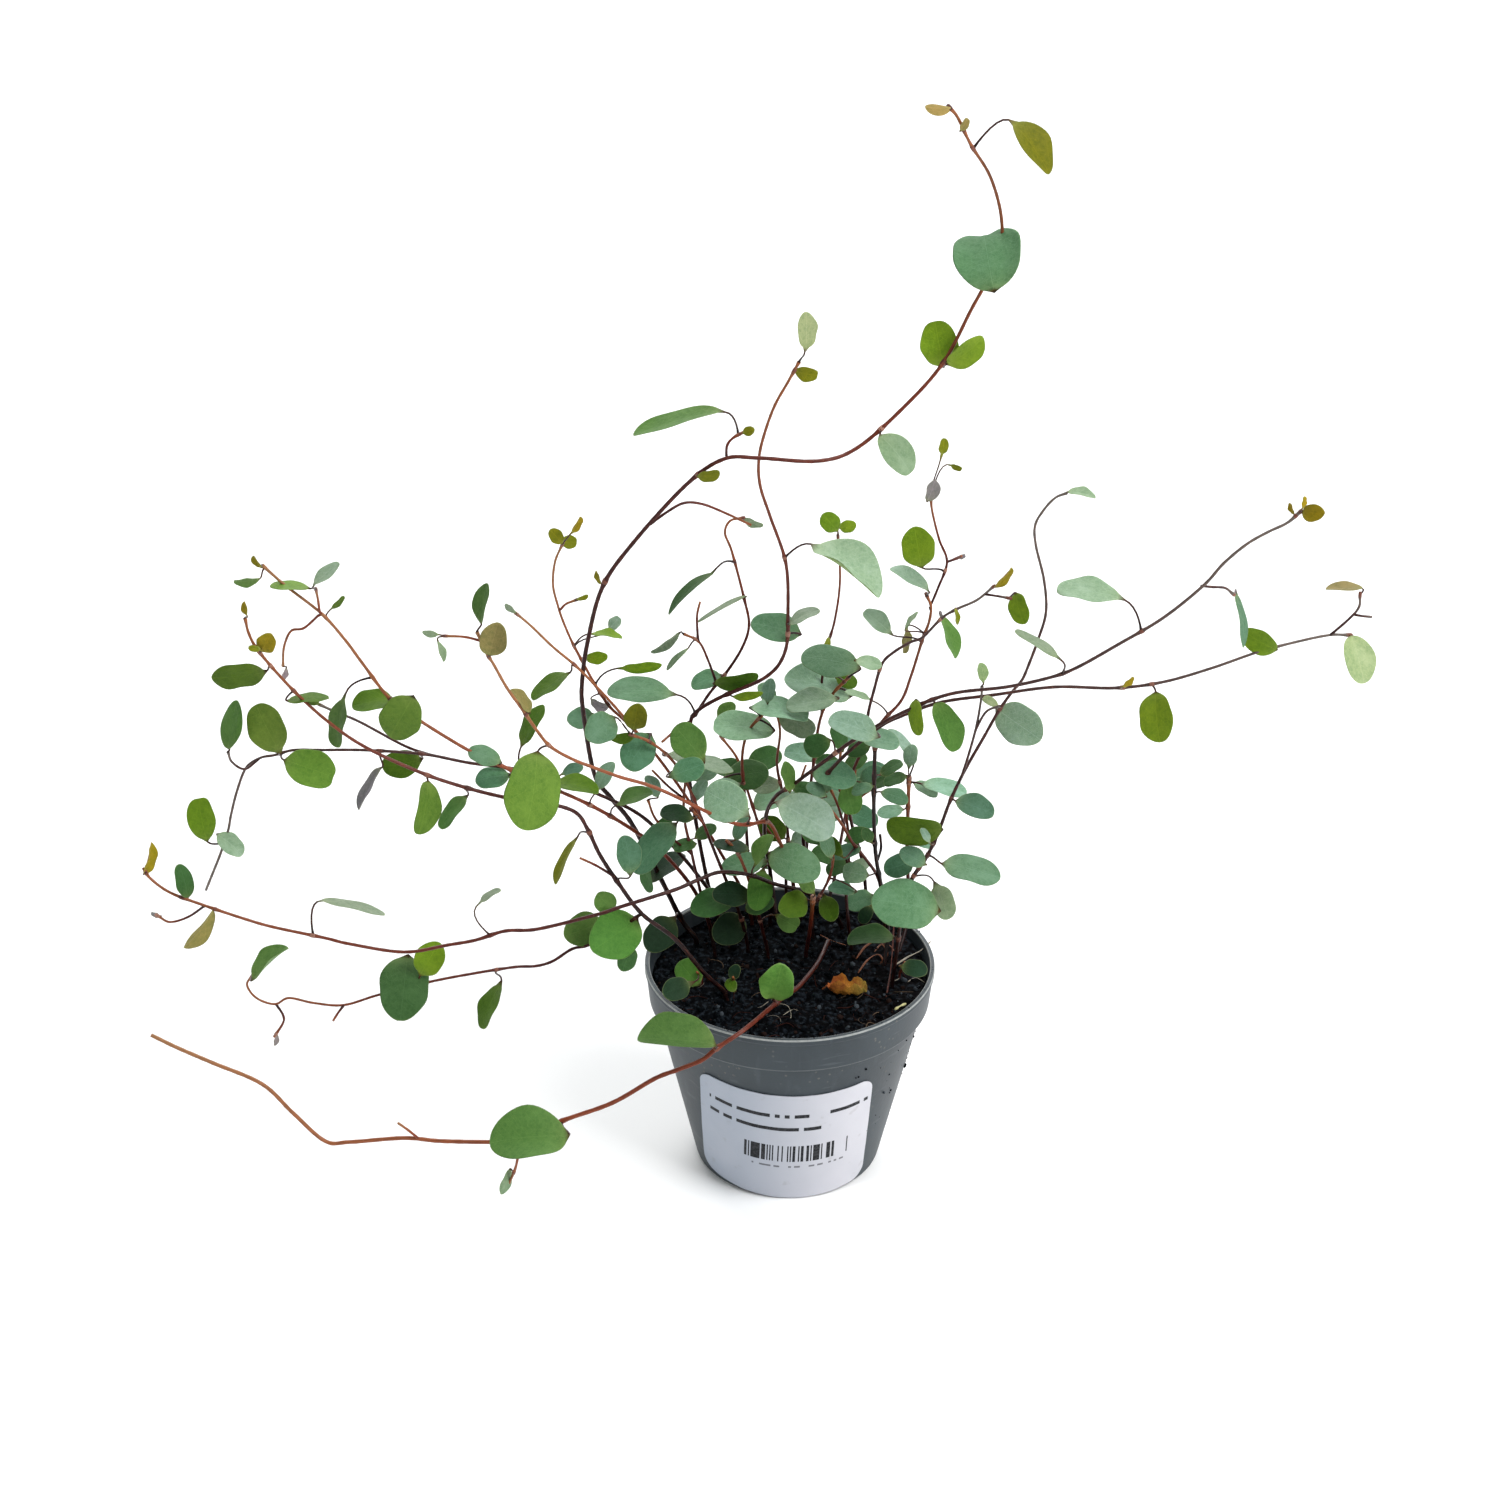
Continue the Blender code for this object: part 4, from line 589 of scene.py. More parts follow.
# the row of bars and the rules: (spacing, row, share left blank, ink, left, right, low, high)
PRINT = [
    (0.42, 0.5, 0.48, 1.0, -13.2, 21.6, -6.4, 0.8), (1.5, 3.5, 0.14, 1.0, -24.6, 9.3, 13.4, 14.9),
    (1.5, 5.5, 0.14, 1.0, -24.4, 11.4, 7.6, 9.1), (1.5, 8.5, 0.14, 1.0, 14.0, 27.0, 13.8, 15.3),
    (0.9, 9.5, 0.4, 0.7, -9.6, 19.4, -9.1, -8.3),
]


def on_wall(across, upward, depth):
    """Wrap flat places onto the wall, a cone: polar about the cone's unrolled apex.

    The distance from the apex gives the height, and the angle at it gives the angle round the
    pot, larger by one over the sine of the wall's slope.
    """
    taper = math.atan2(STEP_RADIUS - BASE, STEP_HEIGHT)
    middle = POT_TOP - LABEL_TOP_DROP - LABEL_HEIGHT / 2 * math.cos(taper)
    aside = across * math.cos(LABEL_TILT) + upward * math.sin(LABEL_TILT)
    out = upward * math.cos(LABEL_TILT) - across * math.sin(LABEL_TILT)
    out = out + body_radius(middle) / math.sin(taper)
    height = np.hypot(aside, out) * math.cos(taper) - BASE / math.tan(taper)
    angle = np.arctan2(aside, out) / math.sin(taper) + LABEL_SIDE
    radius = body_radius(height) + depth
    return np.stack([radius * np.sin(angle), -radius * np.cos(angle), height], -1)


def paper():
    """Bluish white paper with painted shade on the left and painted light on the right, a row of plain
    bars and a few plain rules, no letters.

    The spot is (millimetres to the right, millimetres up) from the label's middle. A print is
    dark in the steps along its row whose chance value is more than the share left blank.
    """
    made = Finish("label_paper", Specular_IOR_Level=0.25)
    across, upward, _ = made.parts(made.mark("spot", "Vector"))
    ink = 0.0
    for spacing, row, blank, dark, left, right, low, high in PRINT:
        cell = made.node("CombineXYZ", {}, {0: (across * (1 / spacing)).floor(), 1: row})
        chance = made.node("TexWhiteNoise", {}, {0: cell})
        inside = (across > left) * (across < right) * (upward > low) * (upward < high)
        ink = ink + (chance > blank) * inside * dark
    place = made.place()
    cloud = made.noise(place, 60.0)
    fibre = made.noise(place, 1300.0, 2.0)
    smudge = made.noise(place, 210.0, 4.0).rise(0.62, 0.72)
    # painted shade and light: the paper goes from darker on the left to lighter on the right
    colour = made.coated(
        (160, 168, 181), (across.rise(-26.0, 26.0), (204, 203, 209)),
        (cloud.rise(0.45, 0.75) * 0.25, (186, 188, 196)), (smudge * 0.18, (120, 112, 104)),
        (ink * (0.88 + fibre * 0.2), (12, 13, 18)))
    made.relief(cloud * 0.8 + fibre * 0.2, 0.12)
    return made.done(colour, 0.5 + fibre * 0.15)


def stick_label():
    """A grid whose rows crowd into the round corners, and shorten there: a row's half width is
    less by the corner times 1 - cos.
    """
    up = LABEL_HEIGHT / 2 * np.sin(np.linspace(-np.pi / 2, np.pi / 2, LABEL_ROWS))
    into = np.clip(np.abs(up) - LABEL_HEIGHT / 2 + LABEL_CORNER, 0, None) / LABEL_CORNER
    half = LABEL_WIDTH / 2 - LABEL_CORNER * (1 - np.sqrt(1 - np.minimum(into, 1) ** 2))
    x = np.linspace(-1, 1, LABEL_COLUMNS) * half[:, None]
    y = np.broadcast_to(up[:, None], x.shape)
    crease = CREASE * np.sin(x * 0.7 + y * 0.25) * np.sin(y * 0.31)
    layers = [on_wall(x, y, LABEL_GAP + thick + crease) for thick in (LABEL_THICKNESS, 0.0)]
    spot = np.stack([x, y, 0 * x], 2).reshape(-1, 3)
    index = np.arange(x.size).reshape(x.shape)
    front = np.stack([index[:-1, :-1], index[:-1, 1:], index[1:, 1:], index[1:, :-1]], 2).reshape(-1, 4)
    ring = np.concatenate([index[0], index[1:, -1], index[-1, -2::-1], index[-2:0:-1, 0]])
    after = np.roll(ring, -1)
    edge = np.stack([ring, ring + x.size, after + x.size, after], 1)
    quads = np.concatenate([front, front[:, ::-1] + x.size, edge])
    marks = [("spot", np.tile(spot, (2, 1)))]
    label = put_in("paper_label", np.reshape(layers, (-1, 3)), quads, [], [paper()], marks=marks)
    label.data.set_sharp_from_angle(angle=SHARP_EDGE)
    stand_for(label, "label")


stick_label()


# Leafy stems: each vine is a wiry stem that roots in the peat, with side stems, thin petioles
# and small round leaves. Nearly black and woody at the root, it gets red-brown, then tan. Every
# leaf stands on a petiole that leaves the stem at a swollen joint, often in a papery sheath.

CAMERA_AT = np.array([-12.8, -763.3, 546.1])
CAMERA_PITCH = math.radians(27.85)
CAMERA_ROLL = math.radians(0.41)
FOCAL_PIXELS = 2894.0
CENTRE_PIXEL = 750.0
PIXEL_SIZE = 0.31

ROOT_DEPTH = 8.0
STRAIGHT = 3.0
CURVE_STEPS = 8
STEM_SLACK = 0.9
START_SPACING = 1.5
BURIED = SOIL_LEVEL + 2.0

BLADE = 0.62
BLADE_RATIO = 1.3
LEAST_TILT = math.radians(22.0)
MOST_TILT = math.radians(68.0)
BOW = 0.05
STAND_OFF = 0.245
LEAST_STAND_OFF = 2.24
LEAN = 0.5
STEM_PULL = 0.4
BLADE_PULL = 0.35
SHIFTS = (0.0, 1.2, -1.2, 2.4, -2.4, 3.6, -3.6, 5.0, -5.0, 6.5, -6.5, 8.0, -8.0, 10.0, -10.0,
          12.5, -12.5, 15.0, -15.0, 18.0, -18.0)

STEM_SIDES = 10
STEM_STEP = 1.3
STEM_RIPPLE = 0.05
JOINT_SWELL = 0.42
JOINT_REACH = 1.1
BRANCH_START = 0.3
SHEATH_CHANCE = 0.7
SHEATH_SIDES = 8
SHEATH_RUN = np.array([-0.8, -0.3, 0.5, 1.0])
SHEATH_FLARE = np.array([1.0, 1.45, 1.5, 1.15])
SHEATH_TONES = [(74, 38, 34), (128, 78, 62), (166, 122, 104)]

LEAF_POINTS = 20
LEAF_RINGS = 20
LEAF_START = 0.06
LEAF_THICKNESS = 0.36
SIDE_SWELL = 0.035
GROOVE_DEPTH = 0.05
GROOVE_WIDTH = 0.16
NOTCH_WIDTH = 0.19
BASE_SHARE = 0.3
LEAF_BASE_TONE = (132, 142, 80)
LEAST_GROWTH = 0.62
GROWTH_LENGTH = 40
BUD_LENGTH = 9
PETIOLE_RINGS = 7
PETIOLE_RADIUS = 0.3
PETIOLE_TONES = [(24, 10, 10), (64, 32, 25), (104, 84, 38)]

# what is seen of a leaf by its letter: the colour that faces the camera, the other face, and
# how much the leaf curls. The colours hold painted light: T and P a painted sheen of the sky,
# L and O a painted glow of light through the blade, and D and N painted shade deep in the bush.
LEAF_TONES = {
    "T": ((120, 152, 124), (96, 124, 60), 0.0), "P": ((130, 154, 126), (120, 144, 88), 0.05),
    "H": ((84, 126, 86), (96, 124, 60), -0.4), "E": ((72, 112, 82), (84, 112, 66), 0.0),
    "C": ((80, 116, 52), (110, 140, 88), 0.1), "G": ((70, 112, 42), (88, 122, 46), 0.0),
    "M": ((92, 124, 42), (98, 132, 78), 0.0), "Q": ((98, 100, 10), (102, 122, 70), 0.1),
    "D": ((56, 92, 46), (62, 88, 40), 0.0), "N": ((26, 52, 30), (46, 72, 32), 0.0),
    "L": ((106, 134, 24), (98, 132, 78), 0.0), "K": ((68, 98, 14), (76, 102, 54), 0.0),
    "Y": ((144, 161, 112), (120, 142, 70), 0.0), "O": ((114, 120, 12), (102, 128, 74), 0.1),
    "A": ((122, 112, 62), (120, 126, 80), 0.2), "B": ((134, 118, 14), (140, 104, 40), 0.3),
    "S": ((124, 144, 112), (104, 120, 80), 0.05), "X": ((126, 118, 118), (104, 96, 90), 0.3),
    "R": ((90, 128, 94), (96, 124, 60), 0.0), "F": ((84, 124, 50), (120, 150, 96), 0.5),
    "U": ((182, 150, 88), (152, 126, 66), 0.2),
}
NOTCHED = {"H": 0.14}
BARK = {
    "dark": [(14, 5, 6), (36, 10, 10), (66, 20, 16), (110, 46, 27), (150, 90, 52)],
    "tan": [(36, 12, 10), (96, 36, 22), (138, 66, 38), (150, 86, 50), (160, 114, 74)],
    "black": [(10, 6, 7), (12, 7, 8), (16, 9, 9), (24, 12, 11), (40, 18, 15)],
    "grey": [(18, 7, 8), (40, 14, 12), (62, 28, 24), (74, 52, 48), (112, 102, 94)],
}


def sight(x, y):
    """Direction from the camera through a pixel of the photograph, and its right and up."""
    ahead = np.array([0, math.cos(CAMERA_PITCH), -math.sin(CAMERA_PITCH)])
    level = np.array([1.0, 0, 0])
    upright = np.array([0, math.sin(CAMERA_PITCH), math.cos(CAMERA_PITCH)])
    right = level * math.cos(CAMERA_ROLL) + upright * math.sin(CAMERA_ROLL)
    up = upright * math.cos(CAMERA_ROLL) - level * math.sin(CAMERA_ROLL)
    across = (x - CENTRE_PIXEL) / FOCAL_PIXELS
    raised = (CENTRE_PIXEL - y) / FOCAL_PIXELS
    return ahead + across * right + raised * up, right, up


def seen_at(x, y, forward):
    """The point seen at a pixel, at a distance in front of the pot's axis."""
    ray = sight(x, y)[0]
    return CAMERA_AT + ray * (-forward - CAMERA_AT[1]) / ray[1]


def on_soil(x, y):
    """The point at the peat's fill level that is seen at a pixel."""
    ray = sight(x, y)[0]
    return CAMERA_AT + ray * (SOIL_LEVEL - CAMERA_AT[2]) / ray[2]


def pixels(points):
    """Where points are seen in the photograph."""
    ray, right, up = sight(CENTRE_PIXEL, CENTRE_PIXEL)
    away = points - CAMERA_AT
    depth = away @ ray
    x = CENTRE_PIXEL + FOCAL_PIXELS * (away @ right) / depth
    y = CENTRE_PIXEL - FOCAL_PIXELS * (away @ up) / depth
    return x, y


def nearest(points, place):
    """Index of the point that lies nearest to a place."""
    return np.linalg.norm(points - place, axis=1).argmin()


def smooth_curve(points, steps=CURVE_STEPS):
    """A Catmull-Rom curve through the points."""
    points = np.asarray(points, float)
    ends = np.concatenate([[2 * points[0] - points[1]], points, [2 * points[-1] - points[-2]]])
    a, b, c, d = (ends[k:len(ends) - 3 + k, None] for k in range(4))
    share = np.linspace(0, 1, steps, endpoint=False)[:, None]
    curve = (2 * b + (c - a) * share + (2 * a - 5 * b + 4 * c - d) * share ** 2
             + (3 * b - a - 3 * c + d) * share ** 3) / 2
    return np.concatenate([curve.reshape(-1, 3), points[-1:]])


def thinned(points):
    """Leave out the points that lie within the slack of a straight run."""
    if len(points) < 3:
        return points
    run = points[-1] - points[0]
    along = np.clip((points - points[0]) @ run / max(run @ run, 1e-9), 0, 1)[:, None]
    away = np.linalg.norm(points - points[0] - along * run, axis=1)
    far = int(away.argmax())
    if away[far] < STEM_SLACK:
        return points[[0, -1]]
    return np.concatenate([thinned(points[:far + 1])[:-1], thinned(points[far:])])


def straight_runs(curve, rooted):
    """The curve as straight runs. The first of a rooted stem ends above the soil."""
    if not rooted:
        return thinned(curve)
    return np.concatenate([curve[:1], thinned(curve[2 * CURVE_STEPS:])])


def divided(path, spacing):
    """The same run of straight pieces, with points close together."""
    pieces = []
    for a, b in zip(path, path[1:]):
        count = max(int(np.linalg.norm(b - a) / spacing), 1)
        pieces.append(a + (b - a) * np.linspace(0, 1, count, endpoint=False)[:, None])
    return np.concatenate(pieces + [path[-1:]])


def trace(route, carriers):
    """Points of a stem from its route. A branch starts on the nearest stem laid before.

    A root is a pixel on the soil. The stem goes in slanted, half way between upright and the
    way to its next point.
    """
    points = [seen_at(*row) for row in route[1:]]
    if len(route[0]) == 2:
        foot = on_soil(*route[0])
        way = unit(unit(points[0] - foot) + np.array([0, 0, 1.0]))
        return smooth_curve([foot - way * ROOT_DEPTH, foot, foot + way * STRAIGHT] + points)
    carrier = np.concatenate(carriers)
    return smooth_curve([carrier[nearest(carrier, seen_at(*route[0]))]] + points)


def nearest_joint(curves, x, y):
    """The point of a vine's stems that is seen nearest to a pixel, and the way it runs."""
    points = np.concatenate(curves)
    ways = np.concatenate([np.gradient(curve, axis=0) for curve in curves])
    seen_x, seen_y = pixels(points)
    buried = (points[:, 2] < BURIED) & (np.hypot(points[:, 0], points[:, 1]) < RIM)
    at = np.where(buried, np.inf, np.hypot(seen_x - x, seen_y - y)).argmin()
    return points[at], unit(ways[at])


def blade_frame(row, forward):
    """Middle, axes, length and width of a leaf from (x, y, length, width, heading, turn).

    The apparent length and width against the usual ratio of a leaf give its tilt. A turn of 1
    tilts the face that is seen to the sky, and of -1 to the ground.
    """
    x, y, length, width, angle, turn = row[:6]
    ray, right, up = sight(x, y)
    middle = seen_at(x, y, forward)
    scale = abs((middle - CAMERA_AT) @ unit(np.cross(up, right))) / FOCAL_PIXELS
    view = unit(ray)
    heading = math.cos(math.radians(angle)) * right + math.sin(math.radians(angle)) * up
    heading = unit(heading - view * (heading @ view))
    side = np.cross(view, heading)
    long, wide = length * scale, width * scale
    if long > BLADE_RATIO * wide:
        tilt = min(max(math.acos(wide * BLADE_RATIO / long), LEAST_TILT), MOST_TILT)
        wide /= math.cos(tilt)
        ways = [(heading, math.cos(tilt) * side + s * math.sin(tilt) * view) for s in (1, -1)]
    else:
        tilt = min(max(math.acos(long / (BLADE_RATIO * wide)), LEAST_TILT), MOST_TILT)
        long /= math.cos(tilt)
        ways = [(math.cos(tilt) * heading + s * math.sin(tilt) * view, side) for s in (1, -1)]
    faces = [np.cross(ahead, across) for ahead, across in ways]
    faces = [-face if face @ view > 0 else face for face in faces]
    best = int(np.argmax([turn * face[2] for face in faces]))
    ahead, normal = unit(ways[best][0]), faces[best]
    return middle, ahead, unit(np.cross(normal, ahead)), normal, long, wide


def spine_point(leaf, share):
    """A point of the midrib, which bows up between the two ends."""
    middle, ahead, _, normal, length, _ = leaf
    share = np.asarray(share)[..., None]
    return middle + length * (ahead * (share - 0.5) + normal * BOW * 4 * share * (1 - share))


def set_leaf(row, index, joint, solid):
    """The leaf's frame at the step along its sight line where the solid's leaf has its tip."""
    reach = max(STAND_OFF * row[2] * PIXEL_SIZE, LEAST_STAND_OFF)
    step = row[6] if len(row) > 7 else (reach if index % 2 == 0 else -reach)
    leaves = [blade_frame(row, step + shift - joint[1]) for shift in SHIFTS]
    tips = np.array([spine_point(leaf, 1.0) + leaf[3] * BLADE / 2 for leaf in leaves])
    misses = np.linalg.norm(tips[:, None] - solid, axis=2).min(1)
    return leaves[int(misses.argmin())]


def on_rings(values):
    """Values of the rings' points as one for each point of the skin, poles last."""
    flat = values.reshape(-1, *values.shape[2:])
    return np.concatenate([flat, [values[0].mean(0), values[-1].mean(0)]])


def ramp(stops, share):
    """Colours along evenly spaced stops, at shares from 0 to 1."""
    stops = np.array([tint(*stop) for stop in stops])
    places = np.linspace(0, 1, len(stops))
    return np.stack([np.interp(share, places, stops[:, k]) for k in range(3)], -1)


def add_stem(growth, curve, radii, joints, bark, start):
    """A tube along the curve, swollen at the joints of its leaves, with streaks kept on it.

    The swelling falls off as a bell to either side of a joint, and the radius also waves a
    little along the stem.
    """
    swell = np.exp(-(np.linalg.norm(curve[:, None] - joints, axis=2) / JOINT_REACH) ** 2).max(1)
    length = np.concatenate([[0], np.linalg.norm(np.diff(curve, axis=0), axis=1).cumsum()])
    share = start + (1 - start) * length / length[-1]
    radii = radii * (1 + JOINT_SWELL * swell + STEM_RIPPLE * np.sin(length * 1.7))
    rings = tube_rings(curve, radii, STEM_SIDES)
    run = around(1.0, round_angles(STEM_SIDES), length[:, None])[..., [2, 0, 1]]
    tone = np.broadcast_to(ramp(BARK[bark], share)[:, None], rings.shape)
    growth.add(skin(rings, curve[0], curve[-1]), 1, tone=on_rings(tone), run=on_rings(run), rim=0.0)


def add_sheath(growth, at, way, radius, draw):
    """A papery cup round a joint: it flares away from the stem, and its edge is torn."""
    path = at + way * SHEATH_RUN[:, None] * draw.uniform(0.8, 1.3)
    rings = tube_rings(path, radius * SHEATH_FLARE, SHEATH_SIDES, np.tile(draw.normal(size=3), (4, 1)))
    rings[2] += way * draw.uniform(-0.5, 0.6, SHEATH_SIDES)[:, None] * radius
    tone = ramp(SHEATH_TONES, draw.uniform(0, 1))
    growth.add(skin(rings, at - way * 0.8, at + way), 1, tone=tone, run=on_rings(rings * 3.0), rim=0.0)


def petiole(leaf, joint, way):
    """A cubic curve that leans along the stem where it leaves it, and ends along the midrib."""
    foot = spine_point(leaf, 0.0)
    reach = np.linalg.norm(foot - joint)
    leave = joint + unit(unit(foot - joint) + LEAN * way) * reach * STEM_PULL
    arrive = foot - leaf[1] * reach * BLADE_PULL
    share = np.linspace(0, 1, PETIOLE_RINGS, endpoint=False)[:, None]
    path = ((1 - share) ** 3 * joint + 3 * (1 - share) ** 2 * share * leave
            + 3 * (1 - share) * share ** 2 * arrive + share ** 3 * foot)
    return path, share[:, 0], reach


def ripple(draw, share, left, paces, slip):
    """A sine of chance pace and start along both sides of a blade, out of step on the left."""
    return np.sin(share * draw.uniform(*paces) + draw.uniform(0, 6) + left * draw.uniform(1, slip))


def blade(leaf, angle, share, least, thick, tone, draw):
    """Rings of a blade, its tip and how far each point lies aside of the midrib.

    A ring is (half width times cos a, half the thickness times sin a), where the half width is
    the root of 1 - (2 share - 1) squared with low swells along either side. It is raised by cup
    times the square of the distance from the midrib, by a fold, by a wave along its edge, and
    lowered along the midrib. A notch draws back the middle of the tip. A leaf that curls has
    more of the fold, the wave and the bend along its length.
    """
    _, ahead, across, normal, length, width = leaf
    curls = LEAF_TONES[tone][2]
    cos, sin = np.cos(angle), np.sin(angle)
    down = share[:, None]
    broad = draw.uniform(-0.14, 0.1)
    half = np.sqrt(1 - (2 * share - 1) ** 2) * (1 + broad * (share - 0.5)) * width / 2
    half = np.maximum(half, least)
    swell = ripple(draw, down, cos < 0, (8, 13), 5)
    aside = half[:, None] * cos * (1 + SIDE_SWELL * swell * np.abs(cos))
    cup = draw.normal(0.012, 0.02) * aside ** 2
    fold = (draw.uniform(0.0, 0.07) + 0.9 * curls) * np.abs(aside)
    wave = (draw.uniform(0.01, 0.03) + 0.1 * curls) * width * np.abs(cos) ** 3
    wave = wave * ripple(draw, down, cos < 0, (6, 12), 4)
    groove = np.minimum(width / 8, 1.4) * np.exp(-(aside / (GROOVE_WIDTH * width)) ** 2)
    curl = (draw.normal(0, 0.018) + 0.12 * curls) * length * (2 * share - 1) ** 2
    lift = cup + fold + wave - GROOVE_DEPTH * groove + sin * thick / 2 + curl[:, None]
    notch = max(draw.normal(-0.01, 0.03), NOTCHED.get(tone, 0)) * length
    notch = notch * down ** 6 * np.exp(-(aside / (NOTCH_WIDTH * width)) ** 2)
    rings = (spine_point(leaf, share)[:, None] + across * aside[..., None] + normal * lift[..., None]
             - ahead * notch[..., None])
    return rings, spine_point(leaf, 1.0) - ahead * notch.max() + normal * curl[-1], aside


def add_leaf(growth, leaf, joint, way, tone, draw):
    """Petiole and blade as one run of rings, thin as paper at the edge.

    The run kept on a blade is (distance along, distance aside, length), and the rim is the
    distance to its edge, which is the half size times 1 - the distance from the middle of a
    circle that the blade is stretched from.
    """
    _, _, across, _, length, width = leaf
    path, share, reach = petiole(leaf, joint, way)
    size = min(1.0, LEAST_GROWTH + length / GROWTH_LENGTH)
    radii = PETIOLE_RADIUS * size * (1 + 0.5 * np.exp(-share * 9))
    stalk = tube_rings(path, radii, LEAF_POINTS, np.broadcast_to(across, path.shape))
    angle = round_angles(LEAF_POINTS)
    cos, sin = np.cos(angle), np.sin(angle)
    step = np.arange(1, LEAF_RINGS) / LEAF_RINGS
    share = (1 - np.cos(np.pi * (LEAF_START + (1 - LEAF_START) * step))) / 2
    thick = LEAF_THICKNESS * (0.55 + 0.45 * size)
    leafy, tip, aside = blade(leaf, angle, share, radii[-1], thick, tone, draw)

    vary = draw.uniform(0.84, 1.08) * draw.uniform(0.93, 1.07, 3)
    shade, other = (tint(*face) for face in LEAF_TONES[tone][:2])
    face = np.where((sin > -0.01)[:, None], shade, other) * vary
    base = BASE_SHARE * np.exp(-share * 9)[:, None, None]
    face = face * (1 - base) + base * np.array(tint(*LEAF_BASE_TONE))
    bud = 0.0 if length > BUD_LENGTH else 0.2
    stalk_tone = ramp(PETIOLE_TONES, np.linspace(0, 0.55, PETIOLE_RINGS) + bud)
    stalk_tone = np.broadcast_to(stalk_tone[:, None], stalk.shape)
    along = 2 * share[:, None] - 1
    edge = 1 - np.sqrt(along ** 2 + (cos * np.sqrt(1 - along ** 2)) ** 2)
    rim = np.concatenate([np.ones(stalk.shape[:2]), edge * min(width, length) / 2])
    seed = draw.uniform(0, 40)
    run = np.stack(np.broadcast_arrays(share[:, None] * length + seed, aside, length), 2)
    stalk_run = around(1.0, angle, np.linspace(0, reach, PETIOLE_RINGS)[:, None])[..., [2, 0, 1]]
    rings = np.concatenate([stalk, leafy])
    finish = np.repeat(np.arange(len(rings) - 1) < PETIOLE_RINGS - 1, LEAF_POINTS).astype(int)
    growth.add(skin(rings, joint, tip), finish, tone=on_rings(np.concatenate([stalk_tone, face])),
               run=on_rings(np.concatenate([stalk_run, run])), rim=on_rings(rim))


def leaf_skin():
    """Satin leaf: mottled, with a faint midrib, side veins, a fine net and a thin pale rim.

    The run is (millimetres along, millimetres across, length), and the rim the distance to
    the edge.
    """
    made = Finish("leaf", IOR=1.22)
    along, across, _ = made.parts(made.mark("run", "Vector"))
    place = made.place()
    tone = made.mark("tone", "Color")
    mottle = made.noise(place, 760.0, 5.0)
    cloud = made.noise(place, 150.0)
    net = 1 - made.cells(place, 900.0, "DISTANCE_TO_EDGE").rise(0.0, 0.09)
    side = ((along - across.size() * 0.8) * 0.42).fraction().band(0.5, 0.0, 0.07)
    midrib = 1 - across.size().rise(0.05, 0.2)
    edge = 1 - made.mark("rim").rise(0.06, 0.24)
    darker = made.stretched(tone, (0.52, 0.66, 0.6))
    paler = made.stretched(tone, (1.5, 1.36, 1.6))
    colour = made.coated(
        tone, (mottle.rise(0.38, 0.72) * 0.5, darker), (cloud.rise(0.45, 0.75) * 0.5, paler),
        ((net * 0.4 + side * 0.26).rise(0.0, 1.0), paler), (midrib * 0.4, paler),
        (edge * 0.2, (164, 176, 118)))
    made.relief(mottle * 0.6 + net * 0.2 - side * 0.2 - midrib * 0.3, 0.12)
    return made.done(colour, 0.5 + mottle * 0.2)


def bark_skin():
    """Wiry bark: streaks along the stem, pale lenticels and a slight gloss."""
    made = Finish("wiry_bark", IOR=1.32)
    streak = made.noise(made.stretched(made.mark("run", "Vector"), (0.35, 2.4, 2.4)), 1.0, 4.0)
    speck = made.noise(made.place(), 1900.0, 2.0)
    colour = made.coated(
        made.mark("tone", "Color"), (streak.rise(0.5, 0.75) * 0.3, (138, 72, 48)),
        (streak.rise(0.6, 0.35) * 0.4, (20, 12, 14)), (speck.rise(0.66, 0.72) * 0.3, (158, 108, 80)))
    made.relief(streak, 0.1)
    return made.done(colour, 0.27 + streak * 0.2)


FOLIAGE = [leaf_skin(), bark_skin()]


def grow(name, stems, leaves, bark="dark"):
    """One vine in one piece. A stem is its route and the radii of its two ends.

    A route is (x, y) of the root in the soil, then (x, y, forward), and a branch starts with a
    forward distance too. A leaf is (x, y, length, width, heading, turn, forward step if any,
    tone), all as seen.
    """
    draw = np.random.default_rng(sum(map(ord, name)))
    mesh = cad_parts[name].data
    solid = np.empty(len(mesh.vertices) * 3)
    mesh.vertices.foreach_get("co", solid)
    solid = np.unique(np.round(solid.reshape(-1, 3) / MM, 3), axis=0)
    carriers, curves, radii = [], [], []
    for route, thick, thin in stems:
        curve = trace(route, carriers)
        carriers.append(divided(straight_runs(curve, len(route[0]) == 2), START_SPACING))
        if curves:
            laid = np.concatenate(curves)
            curve[0] = laid[nearest(laid, curve[0])]
        curve = divided(curve, STEM_STEP)
        away = np.linalg.norm(curve - curve[0], axis=1)
        curves.append(curve)
        radii.append(thick + (thin - thick) * away / away.max())
    growth = Growth()
    laid = np.concatenate(curves)
    laid_radii = np.concatenate(radii)
    ways = np.concatenate([unit(np.gradient(curve, axis=0)) for curve in curves])
    joints = []
    for index, row in enumerate(leaves):
        x = row[0] - math.cos(math.radians(row[4])) * row[2] / 2
        y = row[1] + math.sin(math.radians(row[4])) * row[2] / 2
        joint, way = nearest_joint(carriers, x, y)
        at = nearest(laid, joint)
        joints.append(laid[at])
        add_leaf(growth, set_leaf(row, index, joint, solid), laid[at], way, row[-1], draw)
        if draw.uniform() < SHEATH_CHANCE:
            add_sheath(growth, laid[at], ways[at], laid_radii[at], draw)
    for curve, radius in zip(curves, radii):
        start = 0.0 if curve is curves[0] else BRANCH_START
        add_stem(growth, curve, radius, np.array(joints), bark, start)
    stand_for(growth.put_in("live_" + name, FOLIAGE), name)


